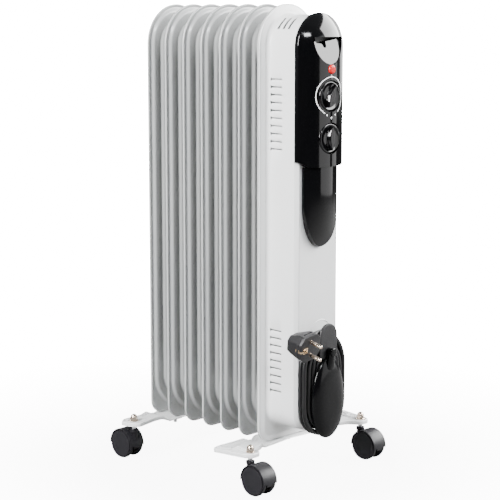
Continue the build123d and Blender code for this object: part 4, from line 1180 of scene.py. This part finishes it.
def make_earth():
    """Earth socket with a square collar, its strip to the edge and the two side clips."""
    profile = [(EARTH_R, -0.05), (EARTH_R, EARTH_DEEP), (EARTH_BORE, EARTH_DEEP), (EARTH_BORE, -0.05)]
    tube = turned(profile, 40, (EARTH_X, 0, 0))
    square = []
    for a in circle(40):
        reach = 4.0 / max(abs(cos(a)), abs(sin(a)))
        square.append((EARTH_X + reach * cos(a), reach * sin(a)))
    hole = arc(EARTH_X, 0, EARTH_BORE, 0, 360, 40)[:-1]
    plate = strips([at_y(outline, y) for outline, y in (
        (hole, -0.05), (square, -0.05), (square, -0.6), (hole, -0.6), (hole, -0.05),
    )])
    path = [
        (EARTH_X - 3.8, -0.15), (-15.6, -0.25), (-17.2, -0.25), (-18.0, 0.0), (-18.5, 0.7), (-18.6, 2.0),
    ]
    shapes = [tube, plate, ribbon(path, 1.1, 0.55)]
    path = [(17.5, 0.6), (17.9, 1.4), (18.05, 4.0), (18.15, 9.0), (17.6, 14.6), (17.2, 15.2)]
    count = len(path)
    faces = [(i, i + 1, count + i + 1, count + i) for i in range(count - 1)]
    for side in (-1, 1):
        for sunk in (0.0, 0.7):
            sheet = [(side * (x - sunk), y, z) for z in (-2.3, 2.3) for x, y in path]
            shapes.append((sheet, faces))
    mesh = mesh_from("plug_earth", *joined(*shapes), 40.0, plug_place)
    return new_piece("earth_contact", mesh, "brass", "plug_earth")


# ---- feet ---------------------------------------------------------------------------
FRONT_FOOT = [
    (0, 34), (30, 32), (50, 18), (60, 12.4), (87, 11), (119, 11.6), (131, 8),
    (122, -43), (116, -50), (102, -50), (91, -34), (78, -29), (60, -17), (37, -15), (0, -11),
]
REAR_FOOT = [
    (0, 222), (34, 221), (62, 209), (89, 197), (119, 198), (131, 189),
    (126, 170), (118, 163), (106, 166), (84, 170.5), (0, 170),
]
# height of the top and of the lip's edge, in the middle and at the casters
FOOT_MID, FOOT_END = 44.7, 53.5
LIP_MID, LIP_END = 43.0, 48.0
RAMP = (55, 73)
# (distance in from the edge, drop below the top); None follows the lip's lower edge
FOOT_EDGE = [
    (1.4, None), (0.1, None), (0.0, 1.6), (0.25, 0.7), (0.8, 0.15), (1.7, 0.0), (3.6, 0.0),
    (4.3, 0.6), (5.3, 0.6), (6.0, 0.0), (7.8, 0.0), (8.5, 0.6), (9.6, 0.75),
]


def foot_top(x):
    """Height of a foot's top: low in the middle, ramped up to the casters."""
    return FOOT_MID + (FOOT_END - FOOT_MID) * smoothstep(*RAMP, abs(x))


def rounded_loop(corners, radius, steps=5):
    """Closed plan outline with its corners rounded off, as (x, y)."""
    loop = []
    count = len(corners)
    for i, corner in enumerate(corners):
        before, here, after = Vector(corners[i - 1]), Vector(corner), Vector(corners[(i + 1) % count])
        reach_in = min(radius, (before - here).length * 0.4)
        reach_out = min(radius, (after - here).length * 0.4)
        start = here + (before - here).normalized() * reach_in
        end = here + (after - here).normalized() * reach_out
        for k in range(steps + 1):
            t = k / steps
            loop.append(start.lerp(here, t).lerp(here.lerp(end, t), t))
    return loop


def resampled(loop, spacing):
    """Evenly spaced points round a closed loop."""
    points = []
    for a, b in zip(loop, loop[1:] + loop[:1]):
        count = max(1, round((b - a).length / spacing))
        points += [a.lerp(b, k / count) for k in range(count)]
    return points


def moved_in(loop, inset):
    """Closed loop moved inwards by an inset along its corner normals."""
    moved = []
    for before, here, after in zip(loop[-1:] + loop[:-1], loop, loop[1:] + loop[:1]):
        way = after - before
        normal = Vector((-way.y, way.x)).normalized()
        moved.append(here + normal * inset)
    return moved


def foot_loop(half_points):
    """Whole plan outline of a foot, counter-clockwise."""
    left = [(-x, y) for x, y in reversed(half_points) if x > 0]
    corners = half_points + left
    loop = resampled(rounded_loop(corners, 5.0), 3.0)
    area = sum(a.x * b.y - b.x * a.y for a, b in zip(loop, loop[1:] + loop[:1]))
    return loop if area > 0 else loop[::-1]


def make_foot(name, half_points, node, middle_line):
    """Pressed foot: flat top with a raised bead along its edge, rounded lip turned down, hem."""
    loop = foot_loop(half_points)
    rings = []
    for inset, drop in FOOT_EDGE:
        line = []
        for p, edge in zip(moved_in(loop, inset), loop):
            lip = LIP_MID + (LIP_END - LIP_MID) * smoothstep(*RAMP, abs(edge.x))
            z = lip if drop is None else foot_top(p.x) - drop
            line.append((p.x, p.y, z))
        rings.append(line)
    inner = [Vector((p[0], p[1])) for p in rings[-1]]
    for share in (0.2, 0.4, 0.6, 0.8, 1.0):
        rise = 1.3 * smoothstep(0.55, 0.95, share) - 0.75
        line = []
        for p in inner:
            y = p.y + (middle_line(p.x) - p.y) * share
            line.append((p.x * (1 - 0.02 * share), y, foot_top(p.x) + rise))
        rings.append(line)
    mesh = thickened(mesh_from(name, *strips(rings), 50.0), SHEET)
    new_piece(name, shade(mesh, 50.0), "enamel", node)


def front_line(x):
    """Plan line along the middle of the front foot."""
    return 14.0 - 27.0 * smoothstep(20, 118, abs(x))


def rear_line(x):
    """Plan line along the middle of the rear foot."""
    return 196.0 - 9.0 * smoothstep(20, 118, abs(x))


# ---- casters ------------------------------------------------------------------------
CASTER_FRONT = (110.5, -40.5)
CASTER_REAR = (116.5, 178.5)
TRAIL = 15.0
WHEEL_R = 20.0
WHEEL_INNER, WHEEL_OUTER = 5.5, 13.0
HOOD_R = 21.5
HOOD_HALF = 12.4
NUT_LOW = 53.55
# the stem's x and y, and the caster's turn at rest in degrees
CASTERS = {
    "front_left": (-CASTER_FRONT[0], CASTER_FRONT[1], -1),
    "front_right": (*CASTER_FRONT, -1),
    "rear_left": (-CASTER_REAR[0], CASTER_REAR[1], 180),
    "rear_right": (*CASTER_REAR, 180),
}


def caster_place(x, y, yaw):
    """Function that moves a point of a caster's own drawing into the row frame."""
    c, s = cos(radians(yaw)), sin(radians(yaw))
    return lambda px, py, pz: place(x + px * c - py * s, y + px * s + py * c, pz)


def wheel_shape(side):
    """Wheel: rounded tread, and a cover disc that stands out inside a deep ring groove."""
    inner, outer = WHEEL_INNER, WHEEL_OUTER
    profile = [(3.2, inner), (4.6, inner), (5.0, inner + 1.4), (15.8, inner + 1.4), (16.4, inner + 0.1)]
    profile += [(18.6, inner), (19.5, inner + 0.4), (WHEEL_R, inner + 1.5), (WHEEL_R, outer - 3.2)]
    profile += [(19.8, outer - 2.6), (19.4, outer - 2.3), (18.9, outer - 2.3), (18.75, outer - 2.0)]
    profile += [(18.75, outer - 0.5), (18.6, outer - 0.2), (18.2, outer - 0.04), (17.4, outer)]
    profile += [(12.0, outer), (6.0, outer), (0.2, outer)]
    return turned([(r, side * x) for r, x in profile], 96, (0, -TRAIL, WHEEL_R), "x")


def drum_line(x, radius, start, end, steps):
    """Arc about the axle at an X, angles in degrees up from behind the wheel."""
    return [(x, y, z) for y, z in arc(-TRAIL, WHEEL_R, radius, start, end, steps)]


def hood_shape():
    """Guard over both wheels, web between them and the socket of the stem."""
    half = [(HOOD_HALF, 20.5), (HOOD_HALF, 21.2), (HOOD_HALF - 0.25, 21.4), (HOOD_HALF - 0.7, HOOD_R)]
    section = [(-x, r) for x, r in half] + [(x, r) for x, r in reversed(half)]
    guard = solid([list(ring) for ring in zip(*(drum_line(x, r, -4.0, 184.0, 48) for x, r in section))])
    web = solid([drum_line(x, 20.9, -13.8, 193.8, 40) for x in (-5.0, -4.7, 4.7, 5.0)])
    socket = [
        (3.1, 41.6), (3.4, 42.4), (5.2, 42.4), (5.7, 42.0), (5.7, 38.9), (5.2, 38.4), (4.8, 37.6),
        (4.8, 26.0),
    ]
    return joined(guard, web, turned(socket, 40, (0, 0, 0), "z"))


def make_casters():
    """Four twin wheel casters, each hood and wheel on its own body."""
    for corner, (x, y, yaw) in CASTERS.items():
        put = caster_place(x, y, yaw)
        mesh = mesh_from(f"hood_{corner}", *hood_shape(), 35.0, put)
        body = f"caster_{corner}"
        new_piece(f"guard_{corner}", mesh, "caster_black", f"{body}_hood", body=body)
        for letter, side in (("a", -1), ("b", 1)):
            body = f"wheel_{corner}_{letter}"
            node = f"caster_{corner}_wheel_{letter}"
            mesh = mesh_from(body, *wheel_shape(side), 30.0, put)
            new_piece(f"tyre_{corner}_{letter}", mesh, "caster_black", node, body=body)


def make_stems():
    """Caster stems: plain shank with a shoulder under the foot."""
    profile = [
        (0.2, 24.0), (2.6, 24.0), (3.0, 24.6), (3.0, 49.7), (4.2, 49.75), (4.5, 50.0), (4.5, 51.7),
        (4.2, 51.95), (3.0, 51.95), (3.0, 53.4), (3.0, 60.2), (0.2, 60.4),
    ]
    shapes = [turned(profile, 32, (x, y, 0), "z") for x, y, _ in CASTERS.values()]
    mesh = mesh_from("stem_pins", *joined(*shapes), 35.0)
    new_piece("stem_pins", mesh, "zinc", "caster_stems")


def hexagon_radius(angle, across):
    """Distance from a hexagon's middle to its side at an angle."""
    step = pi / 3
    return across / cos((angle + step / 2) % step - step / 2)


def make_dome_nuts():
    """Dome nuts with a round flange and a chamfered hexagon."""
    flange = [(3.4, 0.0), (5.9, 0.0), (6.2, 0.25), (6.2, 1.0), (5.8, 1.4)]
    flats = [(5.25, 1.8), (4.5, 2.0), (4.5, 4.8), (4.42, 5.2)]
    dome = [(4.6, 5.5), (4.5, 6.3), (4.05, 7.6), (3.3, 8.7), (2.3, 9.4), (1.1, 9.8), (0.1, 9.9)]
    shapes = []
    for x, y, _ in CASTERS.values():
        rings = []
        for reach, z in flange + flats + dome:
            ring = []
            for a in circle(72):
                r = hexagon_radius(a, reach) if (reach, z) in flats else reach
                ring.append((x + r * cos(a), y + r * sin(a), NUT_LOW + z))
            rings.append(ring)
        shapes.append(solid(rings))
    mesh = mesh_from("dome_nuts", *joined(*shapes), 32.0)
    new_piece("dome_nuts", mesh, "nickel", "caster_dome_nuts")


# ---- the whole heater ---------------------------------------------------------------
make_camera()
cord = make_cord()
plug_pieces = make_plug()
make_stage()
dress_cad()
make_sections()
make_hubs()
make_housing()
make_emboss()
make_panel()
make_recess()
make_wells()
make_print()
make_tongue()
make_lamp()
make_knob("thermostat_dial", THERMOSTAT_Z, THERMOSTAT_TURN, "thermostat_control", "thermostat_knob")
make_knob("switch_dial", SWITCH_Z, 0.0, "switch_control", "switch_knob")
make_winder_base()
make_winder_front()
make_foot("foot_front", FRONT_FOOT, "front_foot", front_line)
make_foot("foot_rear", REAR_FOOT, "rear_foot", rear_line)
make_casters()
make_stems()
make_dome_nuts()
